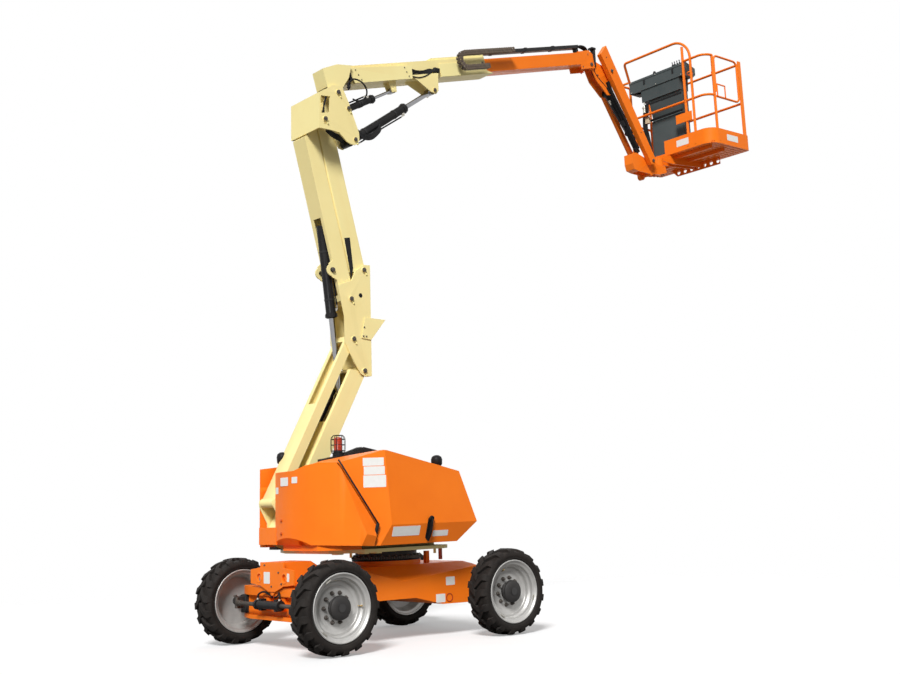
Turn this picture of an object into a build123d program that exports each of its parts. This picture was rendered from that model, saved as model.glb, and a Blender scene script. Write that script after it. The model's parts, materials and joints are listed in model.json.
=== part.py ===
"""Articulating boom lift: chassis on four wheels, turntable, folding tower, telescopic boom, jib, platform.

Millimetres. X runs along the chassis from the steer axle to the drive axle, Y across, Z up.
The origin is on the floor midway between the axles.
"""
import math
import os

from build123d import *

os.makedirs("parts", exist_ok=True)

# ---------------------------------------------------------------- driving sizes
WHEELBASE = 1890.0
TRACK = 1665.0
TYRE_RADIUS = 386.5
TYRE_WIDTH = 265.0
RIM_RADIUS = 283.0
SPINDLE_RADIUS = 40.0
KINGPIN_Y = 600.0
KINGPIN_RADIUS = 22.0
RUNNING_GAP = 0.05
EYE_ROOM = 58.0
PLATE = 16.0
WALL = 8.0
SIDE_GAP = 6.0

CHASSIS_HALF_WIDTH = 450.0
NOSE_HALF_WIDTH = 170.0
DECK_HALF_WIDTH = 330.0
DECK_Z = 660.0
LUG_RADIUS = 35.0
LUG_Y = 215.0
LUG_Z = 612.0
SLEW_X = 180.0
BEARING_RADIUS = 320.0
BEARING_TOP = 800.0
BASE_PLATE_TOP = 832.0
COVER_BOTTOM = 860.0
COVER_SIDE = 800.0
COVER_CREASE_Z = 1032.0
TAIL_RADIUS = 1080.0
NEAR_COVER_EDGE = 255.0
FAR_COVER_EDGE = 545.0
FAR_SHOULDER = 582.0
HOOD_HINGE_Y = -100.0
HOOD_HINGE_Z = 1620.0

TOWER_Y = 400.0
ARM_HALF = 113.0
FOOT_X = -845.0
FOOT_Z = 1260.0
LOWER_LENGTH = 1798.0
LOWER_ANGLE = 61.07
LINK_DX = 125.0
LINK_DZ = -312.0
UPRIGHT_DX = -23.0
UPRIGHT_DZ = 403.0
UPPER_DX = 157.0
UPPER_DZ = 309.0
MID_LENGTH = 1798.0
MID_ANGLE = 103.9
PIN_RADIUS = 25.0
BOSS_RADIUS = 50.0

RISER_NEAR = 40.0
RISER_FAR = 570.0
RIB_NEAR = 266.0
RIB_FAR = 278.0
BAY_Y = 190.0

BOOM_Y = 270.0
BOOM_ANGLE = 15.5
BOOM_HALF = 125.0
BOOM_LOW = 95.0
BOOM_REAR = -95.0
BOOM_HIGH = 292.0
BOOM_LENGTH = 2300.0
FLY_HALF = 105.0
FLY_LOW = 120.0
FLY_HIGH = 272.0
FLY_REAR = 1880.0
FLY_END = 3930.0

JIB_ANGLE = -58.0
JIB_LENGTH = 1250.0
JIB_ARM_Y = 152.0
JIB_LINK_Y = 322.0
JIB_BAY_Y = 250.0
JIB_DX = 45.0
JIB_DZ = -150.0

PLATFORM_NEAR_X = 4975.0
PLATFORM_DEPTH = 760.0
PLATFORM_WIDTH = 1530.0
PLATFORM_Z = 5545.0
RAIL_HEIGHT = 1190.0
RAIL_RADIUS = 16.0
ROTATOR_X = 4785.0


# ---------------------------------------------------------------- shape helpers
def slab(points, near, far, mode=Mode.ADD):
    """Upright plate: outline of (x, z) points, filled from y = near to y = far."""
    with BuildSketch(Plane.XZ.offset(-far)) as outline:
        Polygon(*points, align=None)
    extrude(outline.sketch, amount=far - near, mode=mode)


def level_slab(points, low, high, mode=Mode.ADD):
    """Flat plate: outline of (x, y) points, filled from z = low to z = high."""
    with BuildSketch(Plane.XY.offset(low)) as outline:
        Polygon(*points, align=None)
    extrude(outline.sketch, amount=high - low, mode=mode)


def cross_slab(points, rear, front, mode=Mode.ADD):
    """Cross plate: outline of (y, z) points, filled from x = rear to x = front."""
    with BuildSketch(Plane.YZ.offset(rear)) as outline:
        Polygon(*points, align=None)
    extrude(outline.sketch, amount=front - rear, mode=mode)


def block(x0, x1, y0, y1, z0, z1, mode=Mode.ADD):
    """Box between the named limits."""
    level_slab([(x0, y0), (x1, y0), (x1, y1), (x0, y1)], z0, z1, mode)


def rod(start, end, radius, mode=Mode.ADD):
    """Round bar from one point to another."""
    path = Vector(*end) - Vector(*start)
    with BuildSketch(Plane(start, z_dir=path)) as outline:
        Circle(radius)
    extrude(outline.sketch, amount=path.length, mode=mode)


def disc(centre, near, far, radius, mode=Mode.ADD):
    """Round bar across the machine at an (x, z) centre."""
    rod((centre[0], near, centre[1]), (centre[0], far, centre[1]), radius, mode)


def bent_tube(points, radius, bend):
    """Round tube along a line of points, its corners rounded to one radius or to one each."""
    with BuildLine() as path:
        FilletPolyline(*points, radius=bend)
    start = path.line @ 0
    with BuildSketch(Plane(start, z_dir=path.line % 0)) as outline:
        Circle(radius)
    sweep(outline.sketch, path=path.line)


def polar(origin, length, angle):
    """Point at a length and angle in the X-Z plane from an (x, z) origin."""
    turn = math.radians(angle)
    return (origin[0] + length * math.cos(turn), origin[1] + length * math.sin(turn))


def along(origin, angle, run, rise):
    """Point at (run, rise) in a frame turned by angle about an (x, z) origin."""
    turn = math.radians(angle)
    return (
        origin[0] + run * math.cos(turn) - rise * math.sin(turn),
        origin[1] + run * math.sin(turn) + rise * math.cos(turn),
    )


def outline_along(origin, angle, table):
    """Outline points from (run, rise) rows in a turned frame."""
    return [along(origin, angle, run, rise) for run, rise in table]


def save(part, label):
    part.label = label
    export_step(part, f"parts/{label}.step")


# ---------------------------------------------------------------- pin positions (x, z)
FOOT = (FOOT_X, FOOT_Z)
FOOT_LINK = (FOOT_X + LINK_DX, FOOT_Z + LINK_DZ)
KNEE_LOW = polar(FOOT, LOWER_LENGTH, LOWER_ANGLE)
KNEE_LINK = (KNEE_LOW[0] + LINK_DX, KNEE_LOW[1] + LINK_DZ)
KNEE_HIGH = (KNEE_LOW[0] + UPRIGHT_DX, KNEE_LOW[1] + UPRIGHT_DZ)
KNEE_HIGH_LINK = (KNEE_HIGH[0] + UPPER_DX, KNEE_HIGH[1] + UPPER_DZ)
RISER_PIN = polar(KNEE_HIGH, MID_LENGTH, MID_ANGLE)
BOOM_PIN = (RISER_PIN[0] + UPPER_DX, RISER_PIN[1] + UPPER_DZ)

LIFT_BASE = (BOOM_PIN[0] + 200.0, BOOM_PIN[1] - 464.0)
MASTER_BASE = (BOOM_PIN[0] + 120.0, BOOM_PIN[1] - 146.0)
LIFT_EYE = along(BOOM_PIN, BOOM_ANGLE, 1326.0, -52.0)
MASTER_EYE = along(BOOM_PIN, BOOM_ANGLE, 808.0, 2.0)
TRUNNION = (KNEE_HIGH[0] - 202.0, KNEE_HIGH[1] + 278.0)
TOWER_EYE = (KNEE_LINK[0] - 200.0, KNEE_LINK[1] - 260.0)
LEVEL_PIN = along(BOOM_PIN, BOOM_ANGLE, 4010.0, 110.0)
JIB_PIN = (LEVEL_PIN[0] + 278.0, LEVEL_PIN[1] - 50.0)
JIB_LINK_PIN = (JIB_PIN[0] + JIB_DX, JIB_PIN[1] + JIB_DZ)
HAND_PIN = polar(JIB_PIN, JIB_LENGTH, JIB_ANGLE)
HAND_LINK_PIN = (HAND_PIN[0] + JIB_DX, HAND_PIN[1] + JIB_DZ)
JIB_BASE = (JIB_PIN[0] + 60.0, JIB_PIN[1] - 240.0)
JIB_EYE = along(JIB_PIN, JIB_ANGLE, 890.0, 0.0)

ARM_NEAR = TOWER_Y - ARM_HALF
ARM_FAR = TOWER_Y + ARM_HALF
FORK_NEAR = ARM_NEAR - SIDE_GAP
FORK_FAR = ARM_FAR + SIDE_GAP
STEER_X = -WHEELBASE / 2
DRIVE_X = WHEELBASE / 2
AXLE_Z = TYRE_RADIUS
HUB_Y = TRACK / 2

HOOD_HINGE = {
    "near": (HOOD_HINGE_Y, (0.0, HOOD_HINGE_Z)), "near_open": 65.0,
    "far": (FAR_SHOULDER + 4.0, (0.0, 1500.0)), "far_open": 38.0,
}
HINGE_PIN = 8.0
FAR_HINGE_X = (-120.0, 220.0)
FAR_HINGE_Y = FAR_SHOULDER + 4.0
FAR_HINGE_Z = 1500.0
NEAR_HINGE_X = (-310.0, -150.0)
RAIL_IN = 26.0
RAIL_BENDS = (90.0, 110.0, 128.0)
GATE_Y = BOOM_Y - PLATFORM_WIDTH / 2 + RAIL_IN
GATE_REAR = PLATFORM_NEAR_X + RAIL_IN + 131.0
GATE_HINGE_X = GATE_REAR + 2 * RAIL_RADIUS - 0.5 + 0.4

# ---------------------------------------------------------------- chassis
CHASSIS_OUTLINE = [
    (-400.0, 355.0), (-205.0, 370.0), (185.0, 368.0), (500.0, 291.0), (900.0, 285.0),
    (960.0, 330.0), (960.0, 590.0), (905.0, 634.0), (840.0, DECK_Z), (-400.0, DECK_Z),
]
VALLEY_X = 26.0
VALLEY_Z = 519.0
SLOPE_ENDS = [(-400.0, 655.0), (900.0, 622.0)]
NOSE_OUTLINE = [
    (-1046.0, 536.0), (-1046.0, 745.0), (-760.0, 745.0), (-620.0, DECK_Z), (-390.0, DECK_Z),
    (-390.0, 370.0), (-760.0, 420.0), (-846.0, 536.0),
]
NOSE_FRONT = [
    (-200.0, 745.0), (200.0, 745.0), (200.0, 700.0), (370.0, 680.0), (370.0, 560.0), (200.0, 545.0),
    (60.0, 495.0), (-60.0, 495.0), (-200.0, 545.0), (-370.0, 560.0), (-370.0, 680.0), (-200.0, 700.0),
]
SEAT = 0.3
with BuildPart() as chassis_frame:
    slab(CHASSIS_OUTLINE, -CHASSIS_HALF_WIDTH, CHASSIS_HALF_WIDTH)
    for end_x, end_z in SLOPE_ENDS:
        for side in (-1, 1):
            with BuildSketch(Plane.YZ.offset(VALLEY_X)) as deep:
                Polygon(
                    (side * DECK_HALF_WIDTH, DECK_Z + 1), (side * (CHASSIS_HALF_WIDTH + 1), DECK_Z + 1),
                    (side * (CHASSIS_HALF_WIDTH + 1), VALLEY_Z), align=None,
                )
            with BuildSketch(Plane.YZ.offset(end_x * 1.1)) as shallow:
                Polygon(
                    (side * DECK_HALF_WIDTH, DECK_Z + 1), (side * (CHASSIS_HALF_WIDTH + 1), DECK_Z + 1),
                    (side * (CHASSIS_HALF_WIDTH + 1), end_z), align=None,
                )
            loft([deep.sketch.face(), shallow.sketch.face()], mode=Mode.SUBTRACT)
    slab(NOSE_OUTLINE, -NOSE_HALF_WIDTH, NOSE_HALF_WIDTH)
    cross_slab(NOSE_FRONT, -1058.0, -1042.0)
    rod((-1050.0, 0, 492.0), (-800.0, 0, 492.0), 30.0)
    block(DRIVE_X - 110 - SEAT, DRIVE_X + 200, -160.0 - SEAT, 160.0 + SEAT, 200.0, 505.0 + SEAT, Mode.SUBTRACT)
    rod((DRIVE_X, -460.0, AXLE_Z), (DRIVE_X, 460.0, AXLE_Z), 78.0 + SEAT, Mode.SUBTRACT)
    rod((SLEW_X, 0, DECK_Z - 10), (SLEW_X, 0, 701.0 - SEAT), BEARING_RADIUS + 5)
    block(SLEW_X + 300, SLEW_X + 340, -230.0, -190.0, DECK_Z - 10, 770.0)
    for side in (-1, 1):
        rod((-1060.0, side * LUG_Y, LUG_Z), (-1040.0, side * LUG_Y, LUG_Z), LUG_RADIUS, Mode.SUBTRACT)
save(chassis_frame.part, "chassis_frame")

STEER_PLATE_TABLE = [(455.0, 530.0), (250.0, 285.0)]
with BuildPart() as steer_axle:
    for low, high in STEER_PLATE_TABLE:
        level_slab(
            [(-1035.0, -420.0), (-1000.0, -560.0), (-970.0, -640.0), (-905.0, -640.0), (-860.0, -500.0),
             (-860.0, 500.0), (-905.0, 640.0), (-970.0, 640.0), (-1000.0, 560.0), (-1035.0, 420.0)],
            low, high,
        )
    block(-990.0, -880.0, -520.0, 520.0, 285.0, 455.0)
    for side in (-1, 1):
        rod((STEER_X, side * KINGPIN_Y, 250.0), (STEER_X, side * KINGPIN_Y, 530.0), KINGPIN_RADIUS)
        block(-1045.0 + SEAT, -980.0, side * 130.0 - 20, side * 130.0 + 20, 330.0, 440.0)
    rod((-1060.0, 0, 492.0), (-790.0, 0, 492.0), 30.0 + SEAT, Mode.SUBTRACT)
save(steer_axle.part, "steer_axle")

with BuildPart() as drive_axle:
    rod((DRIVE_X, -640.0, AXLE_Z), (DRIVE_X, 640.0, AXLE_Z), 78.0)
    rod((DRIVE_X, -HUB_Y - 80, AXLE_Z), (DRIVE_X, HUB_Y + 80, AXLE_Z), SPINDLE_RADIUS)
    block(DRIVE_X - 110, DRIVE_X + 110, -160.0, 160.0, 270.0, 505.0)
    for side in (-1, 1):
        rod((DRIVE_X, side * 560.0, AXLE_Z), (DRIVE_X, side * 700.0, AXLE_Z), 120.0)
save(drive_axle.part, "drive_axle")

with BuildPart() as steering_cylinder:
    rod((-1085.0, -205.0, 385.0), (-1085.0, 205.0, 385.0), 36.0)
    for side in (-1, 1):
        rod((-1085.0, side * 205.0, 385.0), (-1085.0, side * 175.0, 385.0), 44.0)
        block(-1100.0, -1045.0, side * 130.0 - 20, side * 130.0 + 20, 335.0, 435.0)
    rod((-1085.0, -205.0, 385.0), (-1085.0, 205.0, 385.0), 18.0 + RUNNING_GAP, Mode.SUBTRACT)
save(steering_cylinder.part, "steering_cylinder")

with BuildPart() as steering_rod:
    rod((-1085.0, -480.0, 385.0), (-1085.0, 480.0, 385.0), 18.0)
    for side in (-1, 1):
        rod((-1085.0, side * 480.0, 385.0), (-1085.0, side * 560.0, 385.0), 26.0)
save(steering_rod.part, "steering_rod")

for name, side in (("near", -1), ("far", 1)):
    with BuildPart() as knuckle:
        block(STEER_X - 55, STEER_X + 55, side * KINGPIN_Y - 45, side * KINGPIN_Y + 45, 292.0, 448.0)
        rod((STEER_X, side * 640.0, AXLE_Z), (STEER_X, side * 700.0, AXLE_Z), 62.0)
        rod((STEER_X, side * 640.0, AXLE_Z), (STEER_X, side * (HUB_Y + 80), AXLE_Z), SPINDLE_RADIUS)
        block(-1080.0, -990.0, side * 600.0 - 22, side * 600.0 + 22, 335.0, 435.0)
        rod(
            (STEER_X, side * KINGPIN_Y, 292.0), (STEER_X, side * KINGPIN_Y, 448.0),
            KINGPIN_RADIUS + RUNNING_GAP, Mode.SUBTRACT,
        )
    save(knuckle.part, f"steer_knuckle_{name}")

# ---------------------------------------------------------------- wheels
TYRE_SECTION = [
    (-103.6, RIM_RADIUS - 21.7), (-105.6, RIM_RADIUS + 1), (-122.0, RIM_RADIUS + 5), (-132.5, 325.0), (-122.0, 358.0), (-96.0, 380.0),
    (-50.0, TYRE_RADIUS), (50.0, TYRE_RADIUS), (96.0, 380.0), (122.0, 358.0), (132.5, 325.0),
    (122.0, RIM_RADIUS + 5), (105.6, RIM_RADIUS + 1), (103.6, RIM_RADIUS - 21.7),
]
RIM_SECTION = [
    (118.0, RIM_RADIUS), (118.0, 268.0), (104.0, 256.0), (98.0, 236.0), (66.0, 232.0), (58.0, 214.0),
    (26.0, 208.0), (18.0, 150.0), (18.0, SPINDLE_RADIUS + RUNNING_GAP), (4.0, SPINDLE_RADIUS + RUNNING_GAP),
    (4.0, 208.0), (-98.0, 236.0), (-104.0, 256.0), (-118.0, 268.0), (-118.0, RIM_RADIUS),
    (-106.0, RIM_RADIUS), (-104.0, RIM_RADIUS - 22), (104.0, RIM_RADIUS - 22), (106.0, RIM_RADIUS),
]
HUB_SECTION = [
    (19.0, SPINDLE_RADIUS + RUNNING_GAP), (19.0, 80.0), (56.0, 82.0), (62.0, 98.0), (98.0, 98.0),
    (106.0, 84.0), (112.0, 58.0), (112.0, 0.0), (92.0, 0.0), (92.0, SPINDLE_RADIUS + RUNNING_GAP),
]
WHEEL_TABLE = [
    ("steer_near", STEER_X, -1), ("steer_far", STEER_X, 1),
    ("drive_near", DRIVE_X, -1), ("drive_far", DRIVE_X, 1),
]
for name, x, side in WHEEL_TABLE:
    for kind, section in (("tyre", TYRE_SECTION), ("rim", RIM_SECTION), ("hub", HUB_SECTION)):
        with BuildPart() as ring:
            with BuildSketch(Plane.XY.offset(AXLE_Z)) as outline:
                Polygon(*[(x + radius, side * (HUB_Y + run)) for run, radius in section], align=None)
            revolve(outline.sketch, axis=Axis((x, 0, AXLE_Z), (0, 1, 0)))
        save(ring.part, f"{kind}_{name}")

# ---------------------------------------------------------------- turntable
with BuildPart() as slew_bearing:
    rod((SLEW_X, 0, 701.0), (SLEW_X, 0, 742.0), BEARING_RADIUS)
    rod((SLEW_X, 0, 742.0), (SLEW_X, 0, BEARING_TOP), BEARING_RADIUS - 30)
save(slew_bearing.part, "slew_bearing")

FOOT_PLATE = [
    (-620.0, BASE_PLATE_TOP), (-790.0, 900.0), (-800.0, 1080.0), (-880.0, 1230.0), (-880.0, 1285.0),
    (-845.0, 1305.0), (-790.0, 1295.0), (-600.0, 1020.0), (-400.0, BASE_PLATE_TOP),
]
with BuildPart() as turntable_frame:
    level_slab(
        [(-700.0, -375.0), (-480.0, -610.0), (380.0, -640.0), (450.0, -600.0), (450.0, 640.0),
         (400.0, 690.0), (-560.0, 690.0), (-620.0, 560.0), (-700.0, 370.0)],
        BEARING_TOP, BASE_PLATE_TOP,
    )
    for near in (FORK_NEAR - PLATE, FORK_FAR):
        slab(FOOT_PLATE, near, near + PLATE)
        disc(FOOT, near, near + PLATE, BOSS_RADIUS - 12)
    for centre in (FOOT, FOOT_LINK):
        disc(centre, FORK_NEAR - PLATE - 4, FORK_FAR + PLATE + 4, PIN_RADIUS)
    for y in (-420.0, 40.0):
        block(-460.0, 430.0, y - 6, y + 6, BASE_PLATE_TOP, BASE_PLATE_TOP + 40)
save(turntable_frame.part, "turntable_frame")

SEAM = [(-771.0, 1640.0), (-449.0, 1048.0), (-471.0, COVER_BOTTOM - 1)]
SEAM_GAP = 8.0
RIDGE = [(-382.0, -COVER_SIDE, 1682.0), (-320.0, -COVER_SIDE, 1024.0)]
SEAM_TOP = (-733.0, -589.0, 1584.0)
SEAM_LOW = (-441.0, -730.0, 1048.0)
TAIL_CREASE_LOW = (-592.0, -756.0, 1036.0)
TAIL_TOP = [
    (NEAR_COVER_EDGE, COVER_BOTTOM - 20), (NEAR_COVER_EDGE, 1529.0), (-100.0, 1534.0), (-258.0, 1575.0),
    (-420.0, 1592.0), (-600.0, 1584.0), (-COVER_SIDE, 1500.0), (-COVER_SIDE, COVER_CREASE_Z),
    (-735.0, COVER_BOTTOM - 20),
]


def trim(first, second, third, offset=0.0):
    """Cut away what lies beyond the plane through three points."""
    origin = Vector(*first)
    normal = (Vector(*second) - origin).cross(Vector(*third) - origin).normalized()
    with BuildSketch(Plane(origin + normal * offset, z_dir=normal)) as outline:
        Rectangle(4000.0, 4000.0)
    extrude(outline.sketch, amount=2000.0, mode=Mode.SUBTRACT)


with BuildPart() as counterweight:
    with BuildSketch(Plane.XY.offset(COVER_BOTTOM - 20)) as outline:
        with Locations((SLEW_X, 0)):
            Circle(TAIL_RADIUS)
    extrude(outline.sketch, amount=800.0)
    slab(
        [(-910.0, 960.0), (-910.0, 1700.0), (-804.0, 1700.0), SEAM[0], SEAM[1], SEAM[2], (-850.0, COVER_BOTTOM + 22)],
        -COVER_SIDE, NEAR_COVER_EDGE, Mode.INTERSECT,
    )
    cross_slab(TAIL_TOP, -1000.0, 0.0, Mode.INTERSECT)
    trim(SEAM_TOP, TAIL_CREASE_LOW, SEAM_LOW)
    level_slab(
        [(-820.0, -380.0), (-690.0, -560.0), (-500.0, -590.0), (-500.0, 200.0), (-820.0, 200.0)],
        BASE_PLATE_TOP + SEAT, COVER_BOTTOM + 40,
    )
    block(-878.0, -864.0, 230.0, FAR_COVER_EDGE - SIDE_GAP, COVER_BOTTOM + 27, 1040.0)
    rod((-950.0, -182.0, 872.0), (-821.0, -182.0, 872.0), 52.0, Mode.SUBTRACT)
save(counterweight.part, "counterweight")

HOOD_SIDE = [
    (-733.0, 1584.0), (-380.0, 1684.0), (455.0, 1490.0),
    (650.0, COVER_CREASE_Z), (452.0, COVER_BOTTOM), (SEAM[2][0] + SEAM_GAP, COVER_BOTTOM),
    (SEAM[1][0] + SEAM_GAP, SEAM[1][1]), (SEAM_TOP[0] + 5, 1576.0),
]
HOOD_SECTION = [
    (HOOD_HINGE_Y, 800.0), (HOOD_HINGE_Y, HOOD_HINGE_Z), (-300.0, 1650.0), (-740.0, 1690.0),
    (-COVER_SIDE, 1680.0), (-COVER_SIDE, COVER_CREASE_Z), (-740.0, COVER_BOTTOM),
]


def hood_solid(side, section):
    """Faceted cover: what a side outline and a section outline share."""
    slab(side, -2000.0, 2000.0)
    cross_slab(section, -2000.0, 2000.0, Mode.INTERSECT)


ROOM_SIDE = [
    (-897.0, 1530.0), (-733.0, 1575.0), (-380.0, 1675.0), (450.0, 1481.0), (640.0, COVER_CREASE_Z),
    (447.0, COVER_BOTTOM + WALL), (-897.0, COVER_BOTTOM + WALL),
]
ROOM_SECTION = [
    (HOOD_HINGE_Y + 1, 800.0), (HOOD_HINGE_Y + 1, 1611.0), (-300.0, 1641.0), (-738.0, 1681.0),
    (WALL - COVER_SIDE, 1671.0), (WALL - COVER_SIDE, COVER_CREASE_Z), (-733.0, COVER_BOTTOM),
]
with BuildPart() as hood_room:
    hood_solid(ROOM_SIDE, ROOM_SECTION)
    trim(RIDGE[1], RIDGE[0], SEAM_TOP, -WALL)
with BuildPart() as hood_near:
    hood_solid(HOOD_SIDE, HOOD_SECTION)
    trim(RIDGE[1], RIDGE[0], SEAM_TOP)
    add(hood_room.part, mode=Mode.SUBTRACT)
    block(-800.0, 600.0, -COVER_SIDE + 90, HOOD_HINGE_Y + 1, COVER_BOTTOM - 20, COVER_BOTTOM + 10, Mode.SUBTRACT)
    for x in NEAR_HINGE_X:
        rod((x - 36, HOOD_HINGE_Y, HOOD_HINGE_Z), (x + 36, HOOD_HINGE_Y, HOOD_HINGE_Z), HINGE_PIN + RUNNING_GAP, Mode.SUBTRACT)
save(hood_near.part, "hood_near")

FAR_PLAN = [
    (-860.0, FAR_COVER_EDGE), (-860.0, 560.0), (-770.0, 700.0), (-640.0, COVER_SIDE), (560.0, COVER_SIDE),
    (620.0, 740.0), (620.0, FAR_COVER_EDGE),
]
FAR_SIDE = [
    (-860.0, 960.0), (-860.0, 1575.0), (-600.0, 1600.0), (-380.0, 1560.0), (430.0, 1440.0), (620.0, COVER_CREASE_Z),
    (440.0, COVER_BOTTOM), (-800.0, COVER_BOTTOM),
]
with BuildPart() as hood_far:
    slab(FAR_SIDE, FAR_COVER_EDGE, COVER_SIDE)
    level_slab(FAR_PLAN, 0.0, 3000.0, Mode.INTERSECT)
    cross_slab(
        [(FAR_COVER_EDGE, 800.0), (FAR_COVER_EDGE, 1380.0), (FAR_SHOULDER, 1410.0), (FAR_SHOULDER, 1620.0), (740.0, 1620.0), (COVER_SIDE, 1520.0),
         (COVER_SIDE, COVER_CREASE_Z), (735.0, COVER_BOTTOM)],
        -1000.0, 1000.0, Mode.INTERSECT,
    )
    block(-700.0, 480.0, FAR_COVER_EDGE - 1, 700.0, COVER_BOTTOM - 10, 1380.0, Mode.SUBTRACT)
    for x in FAR_HINGE_X:
        block(x - 22, x + 22, FAR_COVER_EDGE - 1, FAR_HINGE_Y + 2, 1370.0, FAR_HINGE_Z, Mode.SUBTRACT)
        rod((x - 22, FAR_HINGE_Y, FAR_HINGE_Z), (x + 22, FAR_HINGE_Y, FAR_HINGE_Z), 42.0, Mode.SUBTRACT)
        rod((x - 46, FAR_HINGE_Y, FAR_HINGE_Z), (x + 46, FAR_HINGE_Y, FAR_HINGE_Z), HINGE_PIN + RUNNING_GAP, Mode.SUBTRACT)
save(hood_far.part, "hood_far")

with BuildPart() as service_tank:
    block(-680.0, 460.0, FAR_COVER_EDGE + 5, 690.0, BASE_PLATE_TOP, 1370.0)
    for x in FAR_HINGE_X:
        block(x - 15, x + 15, 566.0, FAR_HINGE_Y - 7, 1360.0, FAR_HINGE_Z + 4)
        rod((x - 40, FAR_HINGE_Y, FAR_HINGE_Z), (x + 40, FAR_HINGE_Y, FAR_HINGE_Z), HINGE_PIN)
save(service_tank.part, "service_tank")

with BuildPart() as engine_block:
    block(-390.0, 380.0, -690.0, 60.0, BASE_PLATE_TOP + 40 + SEAT, 1330.0)
save(engine_block.part, "engine_block")

BEACON_X = -372.0
BEACON_Y = -38.0
BEACON_BASE = 1682.0
INNER_FLOOR = BASE_PLATE_TOP + 40 + SEAT
ROOF_TOP = [(-560.0, 1640.0), (-330.0, 1679.0), (-118.0, 1750.0), (35.0, 1720.0)]
with BuildPart() as top_cover:
    slab(
        [(-452.0, INNER_FLOOR), (-430.0, 1050.0), (-630.0, 1420.0), (-560.0, 1545.0), *ROOF_TOP, (440.0, 1480.0),
         (610.0, COVER_CREASE_Z), (440.0, INNER_FLOOR)],
        HOOD_HINGE_Y + SIDE_GAP, NEAR_COVER_EDGE,
    )
    slab(
        [(-420.0, 700.0), (-400.0, 1046.0), (-560.0, 1385.0), (-380.0, 1470.0), (425.0, 1440.0), (430.0, 700.0)],
        HOOD_HINGE_Y - 100, NEAR_COVER_EDGE - 10, Mode.SUBTRACT,
    )
    block(-760.0, 700.0, 20.0, 400.0, 1490.0, 1800.0, Mode.SUBTRACT)
    slab(
        [(-540.0, 1560.0), (-540.0, 1632.0), (-330.0, 1668.0), (-118.0, 1738.0), (28.0, 1710.0), (400.0, 1490.0)],
        HOOD_HINGE_Y + SIDE_GAP + WALL, 21.0, Mode.SUBTRACT,
    )
    rod((BEACON_X, BEACON_Y, 1664.0), (BEACON_X, BEACON_Y, BEACON_BASE - SEAT), 52.0)
    for x in NEAR_HINGE_X:
        block(x - 30, x + 30, HOOD_HINGE_Y + SEAT, HOOD_HINGE_Y + 20, 1500.0, HOOD_HINGE_Z + 2)
        rod((x - 30, HOOD_HINGE_Y, HOOD_HINGE_Z), (x + 30, HOOD_HINGE_Y, HOOD_HINGE_Z), HINGE_PIN)
save(top_cover.part, "top_cover")

with BuildPart() as beacon:
    rod((BEACON_X, BEACON_Y, BEACON_BASE), (BEACON_X, BEACON_Y, BEACON_BASE + 32), 48.0)
    rod((BEACON_X, BEACON_Y, BEACON_BASE + 32), (BEACON_X, BEACON_Y, BEACON_BASE + 160), 40.0)
save(beacon.part, "beacon")


# ---------------------------------------------------------------- tower
def hollow_arm(origin, angle, table, near, far, wall):
    """Closed box beam from four (run, rise) corners, walls of one thickness."""
    slab(outline_along(origin, angle, table), near, far)
    (r0, a0), (r1, a1), (r2, a2), (r3, a3) = table
    inner = [(r0 + wall, a0 - wall), (r1 - wall, a1 - wall), (r2 - wall, a2 + wall), (r3 + wall, a3 + wall)]
    slab(outline_along(origin, angle, inner), near + wall, far - wall, Mode.SUBTRACT)


def arm_pin_ends(pins, near, far, boss):
    """Boss sleeves of a beam with their running bores."""
    for centre in pins:
        disc(centre, near, far, boss)
        disc(centre, near - 1, far + 1, PIN_RADIUS + RUNNING_GAP, Mode.SUBTRACT)


def slot(origin, angle, start, end, low, high, half):
    """Open window through a beam for a nested cylinder."""
    table = [(start, high), (end, high), (end, low), (start, low)]
    slab(outline_along(origin, angle, table), TOWER_Y - half, TOWER_Y + half, Mode.SUBTRACT)


with BuildPart() as lower_arm:
    hollow_arm(
        FOOT, LOWER_ANGLE, [(0.0, 27.0), (LOWER_LENGTH - 40, 62.0), (LOWER_LENGTH - 40, -31.0), (0.0, -67.0)],
        ARM_NEAR, ARM_FAR, WALL,
    )
    arm_pin_ends((FOOT, KNEE_LOW), ARM_NEAR, ARM_FAR, BOSS_RADIUS - 8)
    slot(FOOT, LOWER_ANGLE, LOWER_LENGTH - 760, LOWER_LENGTH - 60, -120.0, 120.0, 66.0)
save(lower_arm.part, "lower_arm")

with BuildPart() as lower_link:
    hollow_arm(
        FOOT_LINK, LOWER_ANGLE, [(0.0, 102.0), (LOWER_LENGTH - 60, 137.0), (LOWER_LENGTH, -36.0), (0.0, -72.0)],
        ARM_NEAR, ARM_FAR, WALL,
    )
    arm_pin_ends((FOOT_LINK, KNEE_LINK), ARM_NEAR, ARM_FAR, BOSS_RADIUS)
    slot(FOOT_LINK, LOWER_ANGLE, LOWER_LENGTH - 640, LOWER_LENGTH - 90, -25.0, 200.0, 66.0)
    for near in (-ARM_HALF, EYE_ROOM):
        disc(TOWER_EYE, TOWER_Y + near, TOWER_Y + near + ARM_HALF - EYE_ROOM, PIN_RADIUS + 15)
save(lower_link.part, "lower_link")

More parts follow.
